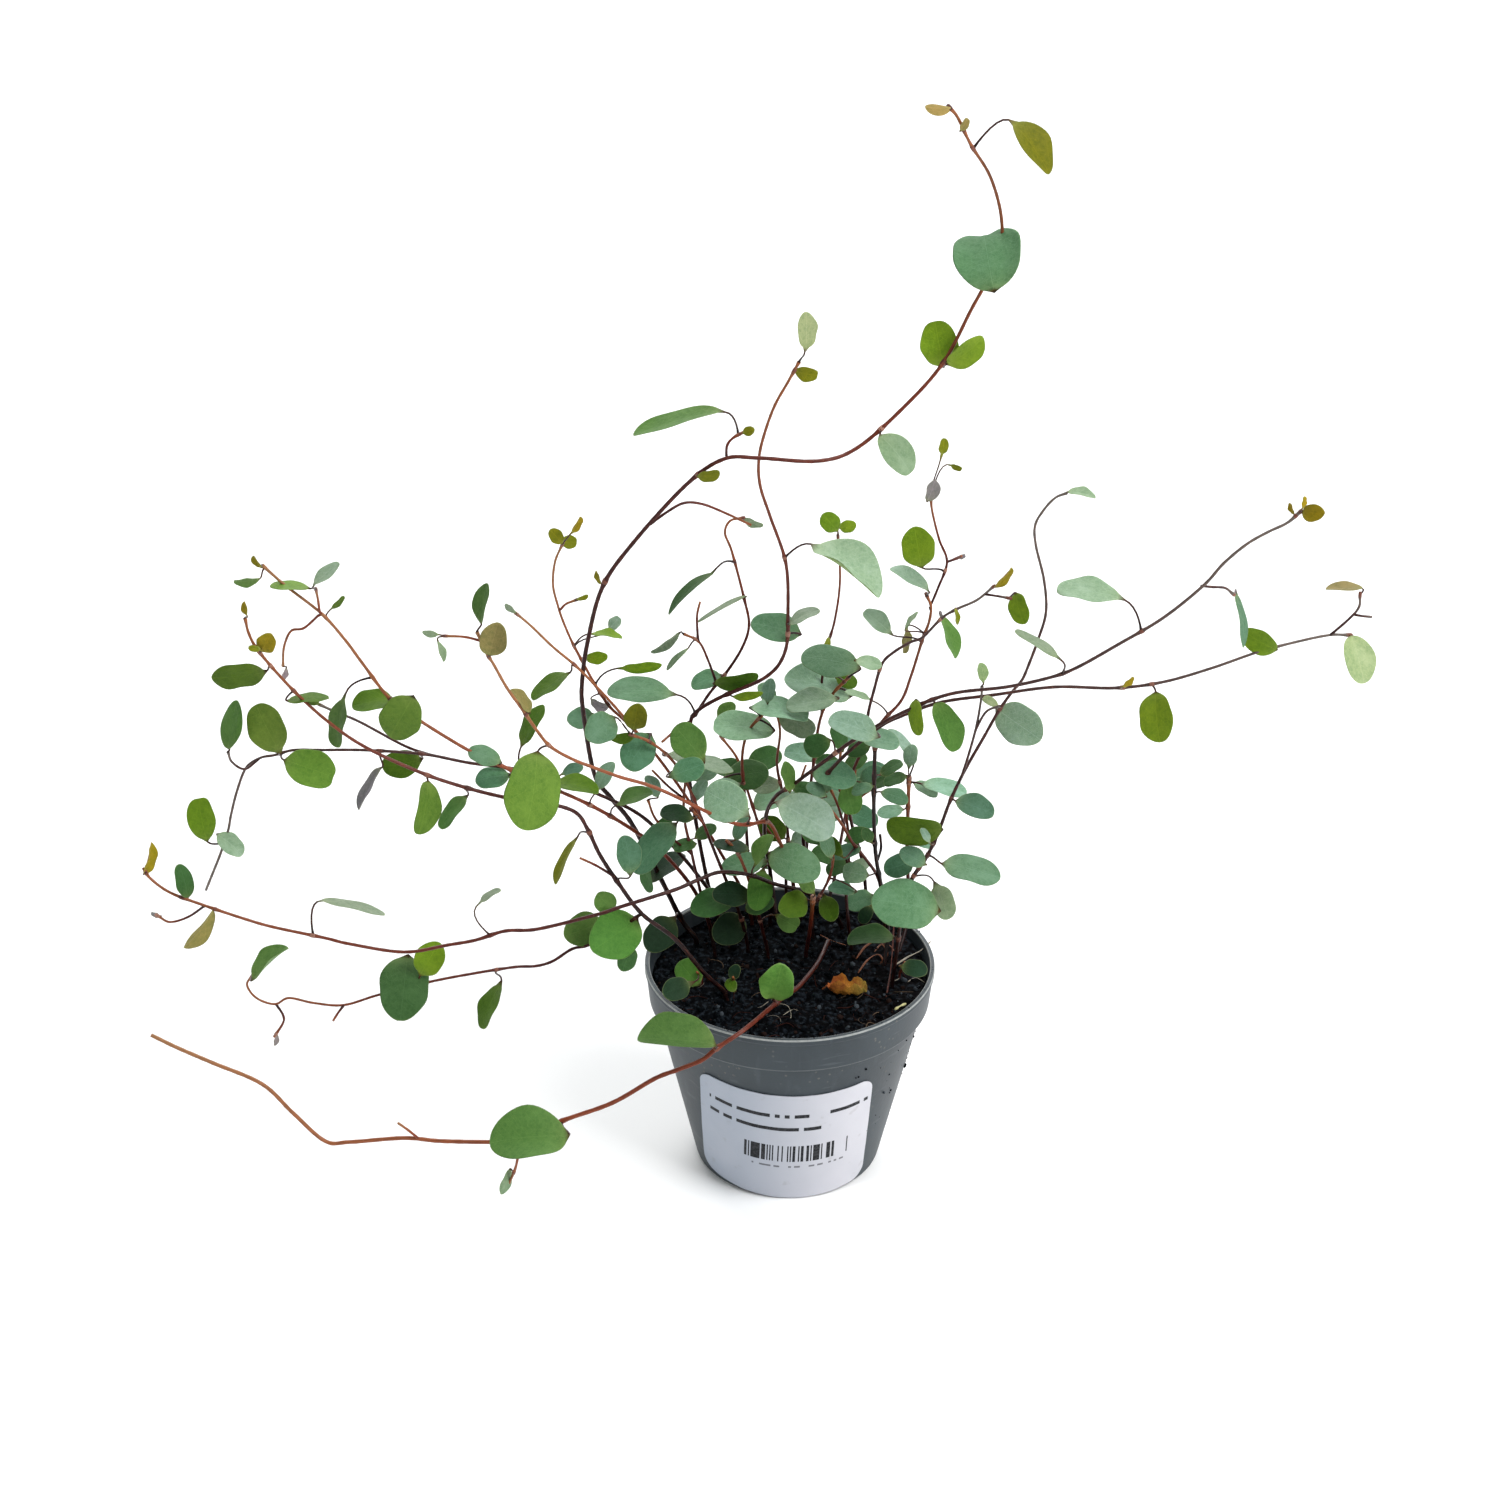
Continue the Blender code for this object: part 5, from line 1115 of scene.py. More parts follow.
grow("arching_stem", [
    ([(697, 945), (681, 919, -20), (662, 881, -18), (632, 824, -16), (611, 798, -15),
      (594, 773, -13), (583, 710, -10), (582, 683, -8), (587, 645, -7), (602, 588, -4),
      (633, 543, 0), (687, 484, 6), (724, 459, 10), (759, 458, 10), (818, 461, 8),
      (857, 448, 4), (904, 407, 0), (943, 363, -3), (971, 310, -5), (984, 286, -6),
      (1000, 250, -9), (1001, 215, -8), (990, 176, -6), (971, 145, -2), (958, 118, 0),
      (950, 108, 1)], 0.85, 0.44),
    ([(652, 526, 2), (667, 512, 0), (684, 503, -2), (702, 504, -4), (723, 512, -6),
      (751, 525, -8)], 0.44, 0.38),
    ([(726, 458, 10), (727, 446, 8), (733, 438, 7), (744, 432, 6)], 0.42, 0.38),
], [
    (988, 257, 62, 70, 100, 1, 5, "H"), (1031, 149, 62, 27, -55, 1, 2, "Q"),
    (939, 343, 46, 38, 100, -1, -4, "L"), (966, 351, 44, 24, 37, -1, -3, "L"),
    (896, 455, 50, 30, -52, 1, "S"), (677, 425, 90, 15, 196, 1, "G"),
    (709, 474, 23, 12, 10, -1, "Q"), (938, 107, 26, 11, 175, -1, 0, "U"),
    (964, 124, 14, 8, 60, -1, "A"), (599, 577, 14, 5, 110, -1, "B"),
    (749, 431, 12, 10, 20, -1, "O"), (667, 868, 45, 20, 35, 1, "N"),
    (648, 878, 30, 12, 280, -1, "D"), (660, 935, 40, 32, 230, 1, "N"),
])
grow("upright_stem", [
    ([(722, 930), (712, 900, -29), (703, 860, -28), (694, 810, -26), (688, 765, -24),
      (690, 728, -22), (695, 713, -21), (719, 698, -19), (755, 683, -16), (771, 673, -15),
      (781, 661, -14), (787, 643, -13), (788, 615, -12), (786, 564, -10), (770, 516, -7),
      (760, 485, -5), (759, 458, -4), (765, 432, -3), (775, 405, -2), (788, 382, -2),
      (799, 362, -1)], 0.72, 0.42),
    ([(694, 716, -21), (709, 694, -26), (726, 673, -29), (742, 648, -32), (749, 625, -34),
      (744, 598, -36), (732, 552, -38), (725, 533, -38), (730, 521, -38), (742, 518, -38)],
     0.5, 0.38),
    ([(716, 684, -27), (708, 660, -24), (699, 642, -22), (684, 634, -20)], 0.42, 0.38),
    ([(699, 642, -22), (697, 617, -21), (700, 602, -20)], 0.4, 0.36),
    ([(692, 722, -22), (675, 731, -17), (662, 742, -12)], 0.44, 0.4),
], [
    (805, 330, 36, 20, 90, 1, "Y"), (807, 373, 24, 15, -10, -1, "O"),
    (848, 571, 82, 30, -37, 1, "P"), (775, 629, 50, 29, 168, 1, "R"),
    (805, 617, 33, 12, 25, 1, "P"), (690, 593, 61, 9, 223, 1, "D"), (722, 610, 54, 5, 209, 1, "S"),
    (665, 643, 34, 8, 215, -1, "S"), (677, 660, 29, 6, 226, 1, "S"),
    (753, 522, 22, 8, -20, -1, "S"), (737, 680, 44, 16, 10, -1, "K"),
    (706, 681, 32, 19, 200, 1, "R"), (639, 693, 64, 26, 178, 1, "R"), (748, 694, 30, 9, 8, -1, "L"),
])
grow("thin_shoots_left", [
    ([(752, 925), (742, 890, -28), (722, 855, -24), (695, 810, -16), (660, 760, -8),
      (628, 722, -3), (607, 698, 0), (578, 668, 1), (553, 647, 3), (530, 625, 5),
      (513, 611, 6)], 0.6, 0.38),
    ([(648, 746, -6), (626, 722, -13), (610, 707, -16), (597, 688, -18), (581, 659, -18),
      (572, 642, -18), (563, 621, -17), (558, 606, -17), (553, 585, -16), (555, 562, -15),
      (562, 545, -15)], 0.46, 0.36),
    ([(560, 612, -17), (566, 604, -16), (576, 600, -16)], 0.4, 0.36),
], [
    (556, 536, 18, 14, 130, -1, "O"), (569, 542, 16, 14, 0, -1, "O"),
    (576, 524, 18, 7, 60, -1, "B"), (550, 687, 44, 16, 215, 1, "K"),
    (510, 608, 14, 6, 140, -1, "S"), (597, 657, 22, 13, 5, -1, "L"), (608, 636, 29, 8, 352, 1, "L"),
    (615, 623, 16, 12, 50, 1, "P"), (642, 666, 40, 11, 5, -1, "L"), (580, 718, 26, 22, 190, 1, "R"),
    (583, 597, 12, 5, 20, -1, "O"), (600, 704, 19, 10, 332, -1, "X"),
], bark="tan")
grow("left_upper_stem", [
    ([(712, 935), (694, 890, -14), (662, 852, -6), (630, 828, 0), (590, 805, 8),
      (545, 785, 15), (500, 765, 19), (468, 750, 21), (422, 722, 23), (391, 700, 24),
      (363, 664, 25), (346, 641, 26), (322, 614, 26), (286, 586, 26), (262, 565, 26)],
     0.7, 0.42),
    ([(321, 615, 26), (304, 628, 24), (291, 631, 22), (284, 647, 21), (283, 666, 20)],
     0.4, 0.36),
    ([(321, 612, 26), (318, 600, 28), (316, 590, 30)], 0.4, 0.36),
], [
    (246, 580, 25, 9, 185, -1, "C"), (289, 588, 38, 10, 178, 1, "M"),
    (328, 574, 34, 12, 40, 1, "P"), (338, 602, 18, 6, 45, -1, "K"), (257, 561, 14, 6, 125, -1, "B"),
    (372, 703, 42, 22, 190, 1, "K"), (341, 723, 50, 17, 262, 1, "C"),
    (401, 718, 46, 42, 240, -1, 4, "M"), (484, 756, 34, 20, 160, 1, "R"),
    (492, 778, 34, 22, 190, 1, "E"), (578, 787, 44, 18, 350, 1, "K"),
    (573, 770, 22, 12, 20, 1, "E"), (636, 798, 36, 16, 20, 1, "C"), (284, 674, 12, 6, 250, -1, "X"),
    (606, 775, 30, 16, 60, 1, "T"),
], bark="tan")
grow("left_middle_stem", [
    ([(726, 998), (703, 972, 15), (675, 939, 17), (642, 914, 18), (619, 884, 19),
      (600, 855, 20), (588, 830, 21), (575, 812, 23), (545, 803, 25), (503, 797, 27),
      (457, 785, 29), (417, 771, 31), (367, 748, 33), (331, 724, 35), (294, 691, 36),
      (260, 653, 37), (249, 634, 37), (245, 618, 37)], 0.75, 0.42),
    ([(642, 914, 18), (615, 932, 15), (589, 945, 16), (572, 949, 17), (553, 961, 19),
      (536, 966, 20), (515, 967, 21), (476, 973, 23), (429, 982, 25), (378, 995, 27),
      (344, 1005, 28), (314, 1003, 28), (289, 998, 28), (276, 1004, 28), (262, 1001, 28),
      (252, 994, 28), (247, 984, 28), (252, 976, 28)], 0.5, 0.36),
    ([(276, 1003, 28), (283, 1015, 29), (283, 1023, 30), (274, 1037, 31)], 0.4, 0.36),
    ([(344, 1005, 28), (338, 1013, 30), (333, 1021, 31)], 0.4, 0.36),
    ([(613, 876, 19), (597, 866, 22), (580, 858, 24)], 0.44, 0.38),
], [
    (267, 642, 20, 20, 60, -1, "B"), (238, 674, 53, 25, 186, -1, "K"),
    (254, 648, 12, 7, 170, -1, "O"), (309, 699, 42, 10, 5, 1, "K"),
    (423, 808, 54, 25, 260, -1, "M"), (454, 814, 40, 16, 232, 1, "C"),
    (627, 854, 38, 25, 100, 1, "E"), (566, 863, 48, 9, 246, 1, "O"),
    (615, 935, 54, 50, 215, 1, 5, "G"), (582, 930, 40, 34, 200, 1, -4, "C"),
    (605, 902, 24, 22, 130, -1, 3, "C"), (627, 959, 26, 20, 250, 1, "D"),
    (246, 608, 14, 6, 100, -1, "B"), (404, 988, 64, 50, 264, 1, 4, "D"),
    (430, 958, 36, 30, 60, -1, "L"), (491, 1007, 47, 18, 247, 1, "K"),
    (271, 963, 46, 14, 43, 1, "C"), (275, 1040, 12, 5, 260, -1, "X"),
])
grow("left_dark_stem", [
    ([(735, 940), (722, 910, -20), (700, 878, -17), (672, 845, -11), (640, 815, -5),
      (600, 795, 2), (555, 778, 9), (510, 768, 13), (470, 763, 14), (430, 755, 15),
      (400, 752, 16), (360, 750, 17), (321, 750, 17), (294, 750, 18), (275, 755, 18),
      (260, 758, 18), (246, 768, 18), (237, 791, 18), (231, 815, 18), (228, 831, 17),
      (220, 855, 17), (212, 875, 16), (206, 890, 15)], 0.7, 0.4),
    ([(432, 755, 15), (405, 746, 12), (360, 722, 11), (336, 712, 11), (316, 703, 11)],
     0.44, 0.4),
    ([(262, 758, 18), (245, 769, 22), (232, 762, 24), (228, 752, 25)], 0.38, 0.36),
], [
    (268, 727, 52, 37, 116, -1, "M"), (234, 725, 50, 20, 80, 1, "C"),
    (311, 770, 53, 38, 340, 1, "M"), (203, 818, 44, 28, 100, -1, "L"),
    (230, 845, 32, 20, 320, 1, "P"), (401, 763, 39, 28, 190, -1, "K"),
    (371, 790, 47, 9, 242, 1, "X"), (533, 724, 44, 17, 62, 1, "K"), (312, 700, 16, 8, 150, -1, "K"),
], bark="grey")
grow("left_long_stem", [
    ([(842, 932), (830, 908, -20), (805, 892, -13), (775, 884, -5), (750, 875, 4),
      (721, 872, 12), (700, 879, 16), (677, 889, 20), (649, 898, 24), (620, 907, 27),
      (599, 914, 29), (538, 929, 33), (505, 931, 34), (476, 940, 35), (448, 945, 36),
      (404, 952, 37), (350, 944, 38), (325, 938, 38), (273, 927, 38), (245, 919, 38),
      (206, 906, 37), (171, 893, 36), (151, 879, 35), (143, 868, 35)], 0.7, 0.42),
    ([(205, 905, 37), (188, 917, 35), (170, 922, 34), (158, 916, 34)], 0.38, 0.36),
], [
    (147, 858, 33, 9, 76, -1, "B"), (183, 881, 35, 18, 105, 1, "D"),
    (198, 929, 48, 14, 232, -1, "A"), (354, 909, 66, 9, -13, 1, "S"), (491, 896, 24, 7, 32, 1, "S"),
    (156, 914, 10, 5, 160, -1, "X"), (764, 849, 34, 16, 60, 1, "C"),
])
grow("over_rim_stem", [
    ([(829, 945), (822, 955, -9), (815, 967, 2), (798, 987, 17), (780, 1000, 27),
      (745, 1029, 45), (717, 1048, 50), (702, 1060, 52), (677, 1070, 53), (654, 1079, 54),
      (612, 1103, 55), (562, 1121, 54), (520, 1141, 52), (491, 1142, 50), (440, 1141, 47),
      (404, 1138, 45), (350, 1142, 42), (325, 1141, 41), (293, 1113, 40), (262, 1084, 39),
      (213, 1063, 37), (178, 1048, 36), (151, 1035, 35)], 0.75, 0.6),
    ([(418, 1139, 46), (408, 1130, 47), (398, 1123, 48)], 0.44, 0.4),
    ([(520, 1143, 52), (516, 1166, 50), (507, 1188, 48)], 0.44, 0.4),
], [
    (528, 1139, 77, 52, 185, 1, 6, "C"), (676, 1043, 78, 34, 176, 1, 3, "C"),
    (778, 980, 36, 36, 75, -1, "F"), (505, 1182, 26, 10, 250, -1, "S"),
], bark="tan")
grow("left_tan_stem", [
    ([(790, 932), (794, 900, -22), (792, 876, -14), (786, 858, -4), (778, 838, 8),
      (768, 822, 15), (751, 824, 19), (737, 824, 21), (718, 817, 23), (699, 808, 25),
      (668, 793, 27), (645, 784, 28), (620, 777, 30), (595, 768, 32), (572, 759, 34),
      (551, 747, 36), (538, 732, 37), (522, 709, 38), (507, 688, 39), (494, 665, 40),
      (486, 652, 41), (477, 632, 41)], 0.7, 0.42),
    ([(482, 644, 41), (465, 637, 40), (446, 636, 39)], 0.4, 0.36),
], [
    (532, 792, 78, 56, 262, -1, 5, "M"), (520, 701, 30, 12, 130, 1, "A"),
    (494, 638, 34, 28, 75, -1, "A"), (485, 603, 41, 14, 81, 1, "C"),
    (430, 633, 16, 7, 170, -1, "S"), (441, 652, 21, 7, 287, 1, "S"),
    (726, 802, 46, 42, 150, 1, "P"), (806, 819, 62, 42, 330, 1, 6, "P"),
    (795, 864, 54, 38, 340, 1, 6, "R"), (742, 866, 42, 24, 190, 1, "R"),
    (759, 891, 40, 26, 260, -1, "G"),
], bark="tan")
grow("right_upper_stem", [
    ([(770, 925), (772, 900, -27), (770, 870, -22), (765, 840, -15), (766, 815, -8),
      (776, 796, -3), (794, 784, 1), (822, 763, 7), (860, 736, 12), (904, 712, 16),
      (950, 694, 20), (1006, 687, 24), (1048, 678, 28), (1076, 668, 30), (1119, 644, 33),
      (1163, 618, 35), (1203, 586, 37), (1224, 563, 37), (1247, 544, 38), (1268, 532, 38),
      (1287, 523, 39), (1300, 512, 39)], 0.7, 0.42),
    ([(1200, 589, 37), (1212, 587, 35), (1225, 588, 33), (1233, 594, 32)], 0.4, 0.36),
], [
    (1314, 513, 22, 18, 0, -1, "B"), (1292, 508, 12, 5, 110, -1, "B"),
    (1303, 502, 12, 5, 80, -1, "B"), (1088, 594, 63, 24, 172, 1, "P"),
    (1036, 644, 50, 10, 148, 1, "S"), (1240, 621, 54, 8, 278, 1, "R"),
    (852, 728, 50, 28, 160, 1, "T"), (817, 745, 27, 24, 200, -1, "D"),
    (945, 728, 54, 26, 292, 1, "G"), (917, 718, 36, 15, 276, -1, "L"),
    (787, 776, 30, 14, 100, 1, "C"),
], bark="grey")
grow("right_lower_stem", [
    ([(812, 937), (812, 910, -25), (808, 870, -21), (803, 830, -16), (812, 795, -11),
      (840, 760, -5), (878, 728, 1), (904, 715, 5), (942, 702, 9), (993, 695, 12),
      (1054, 687, 15), (1115, 688, 17), (1163, 682, 18), (1212, 668, 19), (1258, 652, 20),
      (1300, 641, 20), (1330, 635, 20), (1348, 635, 20)], 0.7, 0.4),
    ([(865, 738, -1), (868, 715, -4), (874, 690, -5), (882, 664, -5), (894, 652, -5),
      (911, 642, -4), (923, 637, -3), (942, 618, -2), (957, 609, -2), (977, 600, -1),
      (993, 587, 0)], 0.5, 0.38),
    ([(1332, 635, 20), (1350, 618, 21), (1359, 607, 21), (1360, 596, 21)], 0.4, 0.36),
    ([(1352, 617, 21), (1362, 616, 22), (1372, 617, 22)], 0.38, 0.36),
    ([(985, 595, -1), (997, 596, 1), (1008, 598, 2)], 0.38, 0.36),
], [
    (1357, 660, 50, 30, 285, 1, "Y"), (1344, 590, 36, 9, 182, 1, "A"),
    (1158, 718, 50, 34, 275, -1, "L"), (1002, 577, 27, 7, 47, -1, "B"),
    (1020, 609, 32, 20, 285, -1, "L"), (948, 638, 44, 14, 289, 1, "C"),
    (956, 617, 16, 5, 276, 1, "O"), (835, 777, 44, 28, 350, 1, "R"),
    (1128, 681, 14, 6, 40, -1, "B"), (850, 800, 30, 24, 285, -1, "C"),
    (869, 664, 26, 14, 347, 1, "P"), (1260, 640, 38, 24, 150, -1, "L"),
], bark="grey")
grow("right_hook_stem", [
    ([(892, 988), (897, 950, 8), (903, 905, 9), (912, 879, 9), (926, 858, 9),
      (937, 836, 9), (943, 820, 9), (951, 799, 8), (965, 770, 6), (985, 735, 4),
      (998, 712, 2), (1012, 692, 1), (1022, 680, 0), (1029, 664, 0), (1038, 640, -1),
      (1046, 612, -2), (1044, 580, -3), (1036, 546, -4), (1035, 526, -4), (1043, 511, -4),
      (1055, 498, -4), (1067, 493, -4)], 0.62, 0.38),
    ([(958, 786, 7), (967, 760, 12), (976, 728, 15), (981, 700, 15), (982, 686, 15)],
     0.42, 0.36),
    ([(976, 730, 15), (986, 712, 17), (1000, 706, 18)], 0.4, 0.36),
], [
    (1082, 495, 28, 9, -12, 1, "S"), (1020, 725, 52, 40, 325, 1, "P"),
    (982, 672, 19, 11, 98, 1, "Y"), (990, 702, 18, 9, 150, 1, "Y"), (975, 808, 40, 24, 340, 1, "E"),
    (914, 827, 56, 30, 175, -1, "K"), (912, 857, 28, 20, 150, 1, "R"),
    (898, 866, 30, 24, 200, 1, "E"), (972, 872, 58, 28, 345, 1, "R"),
    (904, 905, 66, 50, 170, 1, 7, "R"), (942, 903, 36, 24, 290, 1, -3, "S"),
    (870, 940, 46, 20, 185, 1, "D"), (925, 835, 16, 8, 120, 1, "T"),
], bark="grey")
grow("upright_right_stem", [
    ([(861, 933), (866, 900, -28), (862, 860, -26), (852, 825, -22), (848, 790, -18),
      (860, 755, -15), (880, 724, -13), (901, 701, -12), (911, 676, -12), (918, 654, -12),
      (923, 638, -12), (929, 622, -12), (931, 607, -12), (927, 596, -12)], 0.62, 0.42),
    ([(928, 612, -12), (938, 588, -15), (947, 562, -17), (939, 539, -18), (932, 510, -18),
      (931, 494, -18)], 0.4, 0.36),
    ([(947, 563, -17), (955, 559, -18), (962, 556, -19)], 0.38, 0.36),
], [
    (908, 580, 43, 14, 151, 1, "P"), (918, 546, 40, 34, 100, -1, "L"),
    (931, 490, 22, 14, 70, -1, "X"), (876, 622, 34, 18, 140, 1, "P"),
    (905, 641, 25, 9, 263, -1, "A"), (962, 556, 8, 5, 20, -1, "X"), (943, 446, 16, 10, 80, -1, "O"),
    (857, 696, 26, 7, 163, 1, "S"), (872, 775, 26, 16, 30, 1, "E"), (957, 467, 12, 6, 340, -1, "O"),
    (912, 620, 20, 5, 52, 1, "S"),
])
grow("vertical_stem", [
    ([(884, 970), (888, 930, -9), (882, 890, -9), (876, 857, -9), (874, 820, -9),
      (874, 785, -9), (875, 748, -9)], 0.66, 0.6),
    ([(877, 862, -9), (881, 848, -12), (880, 834, -14)], 0.44, 0.42),
], [
    (881, 742, 37, 21, 350, 1, "T"), (858, 750, 24, 16, 200, 1, "D"),
    (867, 835, 16, 12, 120, 1, "D"), (892, 768, 26, 13, 30, 1, "D"),
    (862, 790, 22, 12, 200, 1, "R"), (855, 873, 26, 22, 170, 1, "P"),
    (895, 797, 28, 16, 340, 1, "R"),
], bark="black")
grow("short_right_stem", [
    ([(899, 957), (907, 920, -20), (908, 880, -22), (907, 845, -22), (908, 811, -22),
      (909, 779, -22)], 0.62, 0.6),
], [
    (911, 755, 22, 15, 80, 1, "T"), (900, 744, 38, 11, 130, 1, "T"),
    (895, 780, 24, 13, 200, 1, "D"), (926, 790, 26, 13, 330, 1, "T"),
    (890, 812, 26, 14, 190, 1, "T"), (924, 842, 22, 14, 340, 1, "T"),
    (946, 790, 46, 17, -14, 1, "T"),
])
grow("leaning_stem", [
    ([(884, 940), (884, 908, -21), (878, 878, -18), (865, 858, -14), (852, 842, -11),
      (843, 826, -9), (830, 809, -7), (820, 799, -6)], 0.62, 0.44),
    ([(845, 828, -9), (838, 806, -13), (831, 790, -16)], 0.42, 0.38),
], [
    (816, 790, 22, 14, 150, 1, "R"), (828, 782, 20, 12, 80, 1, "R"),
    (846, 853, 30, 15, 200, 1, "E"), (859, 901, 28, 22, 200, 1, "R"),
    (866, 915, 20, 14, 240, 1, "N"), (836, 846, 22, 12, 120, -1, "K"),
])
grow("middle_back_stem", [
    ([(755, 919), (750, 880, -38), (747, 840, -37), (745, 800, -35), (742, 760, -33),
      (748, 732, -32), (765, 712, -32)], 0.62, 0.44),
], [
    (742, 729, 62, 30, 175, 1, "T"), (747, 775, 45, 30, 10, 1, "D"),
    (781, 713, 60, 21, 350, 1, "T"), (798, 722, 40, 24, 330, -1, "S"),
    (722, 790, 36, 18, 200, 1, "T"), (770, 690, 24, 14, 80, 1, "T"),
    (733, 815, 30, 16, 200, 1, "T"),
])
grow("middle_right_stem", [
    ([(800, 921), (804, 880, -38), (807, 840, -39), (809, 800, -39), (814, 760, -38),
      (820, 720, -36), (832, 695, -34), (848, 678, -32)], 0.66, 0.44),
    ([(822, 714, -36), (822, 680, -39), (828, 645, -41), (835, 619, -41), (840, 581, -41),
      (838, 537, -41)], 0.42, 0.36),
], [
    (829, 662, 58, 32, 170, 1, "R"), (817, 687, 68, 36, 165, 1, "T"),
    (811, 704, 50, 24, 190, 1, "P"), (847, 681, 22, 16, 340, 1, "K"),
    (830, 522, 22, 20, 130, -1, "L"), (848, 526, 17, 13, 10, -1, "L"),
    (826, 645, 16, 7, 250, -1, "O"), (800, 755, 34, 20, 170, 1, "T"),
    (830, 815, 28, 18, 20, 1, "T"), (790, 800, 30, 16, 190, 1, "T"),
])
grow("middle_left_stem", [
    ([(748, 952), (740, 915, -12), (722, 870, -8), (706, 830, -6), (690, 790, -4),
      (672, 760, -1), (650, 742, 2), (632, 735, 4)], 0.62, 0.42),
    ([(712, 845, -7), (704, 825, -1), (690, 808, 3)], 0.42, 0.38),
], [
    (689, 742, 42, 34, 130, 1, "C"), (700, 765, 68, 15, -14, 1, "P"),
    (689, 770, 34, 25, 20, 1, "E"), (638, 752, 42, 34, 235, 1, "E"),
    (636, 716, 26, 24, 80, -1, "Q"), (655, 850, 62, 31, 231, 1, "R"),
    (600, 729, 34, 32, 220, 1, "R"), (622, 737, 24, 11, 185, -1, "K"),
    (712, 904, 45, 28, 195, 1, "D"), (728, 930, 36, 32, 215, 1, "N"),
    (676, 815, 34, 18, 170, 1, "N"), (700, 790, 24, 14, 60, 1, "T"),
])
grow("low_middle_stem", [
    ([(768, 958), (762, 928, -9), (754, 898, -6), (746, 872, -5), (737, 852, -5),
      (726, 840, -5)], 0.6, 0.44),
], [
    (731, 847, 36, 13, 170, 1, -5, "N"), (731, 895, 38, 25, 175, 1, -4, "N"),
    (788, 922, 24, 20, 330, -1, "C"), (742, 828, 26, 14, 60, 1, "R"),
    (760, 905, 30, 20, 20, 1, "D"),
])
grow("crown_stem", [
    ([(806, 957), (810, 930, -8), (813, 898, -3)], 0.66, 0.6),
    ([(812, 905, -5), (826, 885, -6), (832, 868, -8), (833, 852, -9)], 0.44, 0.4),
], [
    (793, 905, 30, 28, 200, 1, "K"), (829, 909, 26, 20, 290, 1, "K"),
    (841, 890, 27, 14, 170, 1, "E"), (826, 845, 26, 15, 110, 1, "R"),
    (806, 884, 22, 15, 130, 1, "C"),
])
grow("back_left_stem", [
    ([(776, 918), (770, 870, -48), (760, 830, -55), (748, 792, -60), (738, 760, -62),
      (722, 738, -63)], 0.62, 0.42),
], [
    (727, 711, 22, 15, 40, 1, "C"), (772, 800, 38, 24, 20, 1, "T"), (765, 760, 36, 24, 20, 1, "D"),
    (728, 770, 32, 20, 170, 1, "D"),
])
grow("back_right_stem", [
    ([(824, 919), (834, 880, -41), (842, 834, -50), (850, 795, -60), (858, 760, -64),
      (868, 735, -66)], 0.62, 0.42),
], [
    (848, 735, 38, 24, 160, 1, "E"), (872, 775, 36, 24, 10, 1, "E"),
    (832, 790, 34, 22, 190, 1, "E"), (862, 818, 34, 22, 340, 1, "E"),
    (826, 855, 30, 20, 170, 1, "D"),
])
grow("sprout_left", [
    ([(702, 984), (697, 972, 9)], 0.44, 0.4),
], [
    (689, 973, 30, 27, 130, 1, 1, "G"), (676, 989, 28, 24, 200, 1, -1, "N"),
])
grow("sprout_middle", [
    ([(734, 988), (733, 977, 12)], 0.42, 0.38),
], [
    (731, 985, 14, 12, 120, 1, 1, "K"), (735, 972, 16, 12, 70, 1, -1, "N"),
])
grow("sprout_right", [
    ([(899, 980), (905, 962, 4)], 0.44, 0.4),
], [
    (915, 969, 26, 18, 350, 1, 1, "N"),
])
grow("inner_left_stem", [
    ([(715, 957), (709, 925, -13), (700, 890, -10), (691, 850, -9), (684, 815, -10),
      (686, 780, -12), (698, 752, -14)], 0.6, 0.4),
    ([(692, 855, -9), (672, 838, -6), (655, 818, -4), (648, 800, -3)], 0.42, 0.38),
    ([(686, 800, -11), (668, 786, -14), (652, 770, -16)], 0.42, 0.38),
], [
    (706, 776, 24, 14, 20, 1, "T"), (652, 786, 24, 14, 120, 1, "T"), (664, 828, 24, 15, 60, 1, "D"),
    (706, 832, 24, 14, 30, 1, "D"), (684, 846, 24, 14, 190, 1, "D"),
])
grow("inner_right_stem", [
    ([(851, 950), (848, 920, -12), (846, 885, -15), (849, 850, -20), (846, 815, -24),
      (838, 780, -27), (841, 750, -29)], 0.6, 0.4),
    ([(848, 862, -18), (836, 842, -14), (822, 832, -12)], 0.42, 0.38),
    ([(846, 818, -24), (858, 800, -28), (870, 790, -30)], 0.42, 0.38),
], [
    (838, 738, 26, 16, 110, 1, "D"), (828, 764, 26, 16, 170, 1, "D"),
    (856, 762, 26, 16, 30, 1, "D"), (858, 788, 24, 16, 60, 1, "R"), (832, 800, 26, 16, 180, 1, "T"),
    (858, 836, 26, 17, 20, 1, "D"), (814, 838, 26, 15, 160, 1, "D"),
    (838, 868, 26, 16, 200, 1, "D"), (882, 782, 24, 14, 20, 1, "D"), (860, 868, 22, 14, 30, 1, "P"),
])
grow("inner_back_stem", [
    ([(788, 921), (786, 880, -33), (788, 840, -38), (784, 800, -41), (777, 765, -43),
      (780, 730, -44), (773, 702, -45)], 0.6, 0.4),
    ([(786, 805, -41), (798, 785, -44), (806, 765, -46)], 0.42, 0.38),
    ([(787, 850, -37), (772, 835, -34), (762, 822, -32)], 0.42, 0.38),
], [
    (766, 694, 26, 16, 120, 1, "T"), (766, 786, 28, 18, 190, 1, "S"),
    (806, 790, 26, 16, 350, 1, "D"), (804, 838, 26, 17, 20, 1, "T"),
    (772, 828, 30, 24, 140, -1, "K"), (768, 862, 24, 16, 180, 1, "D"),
])


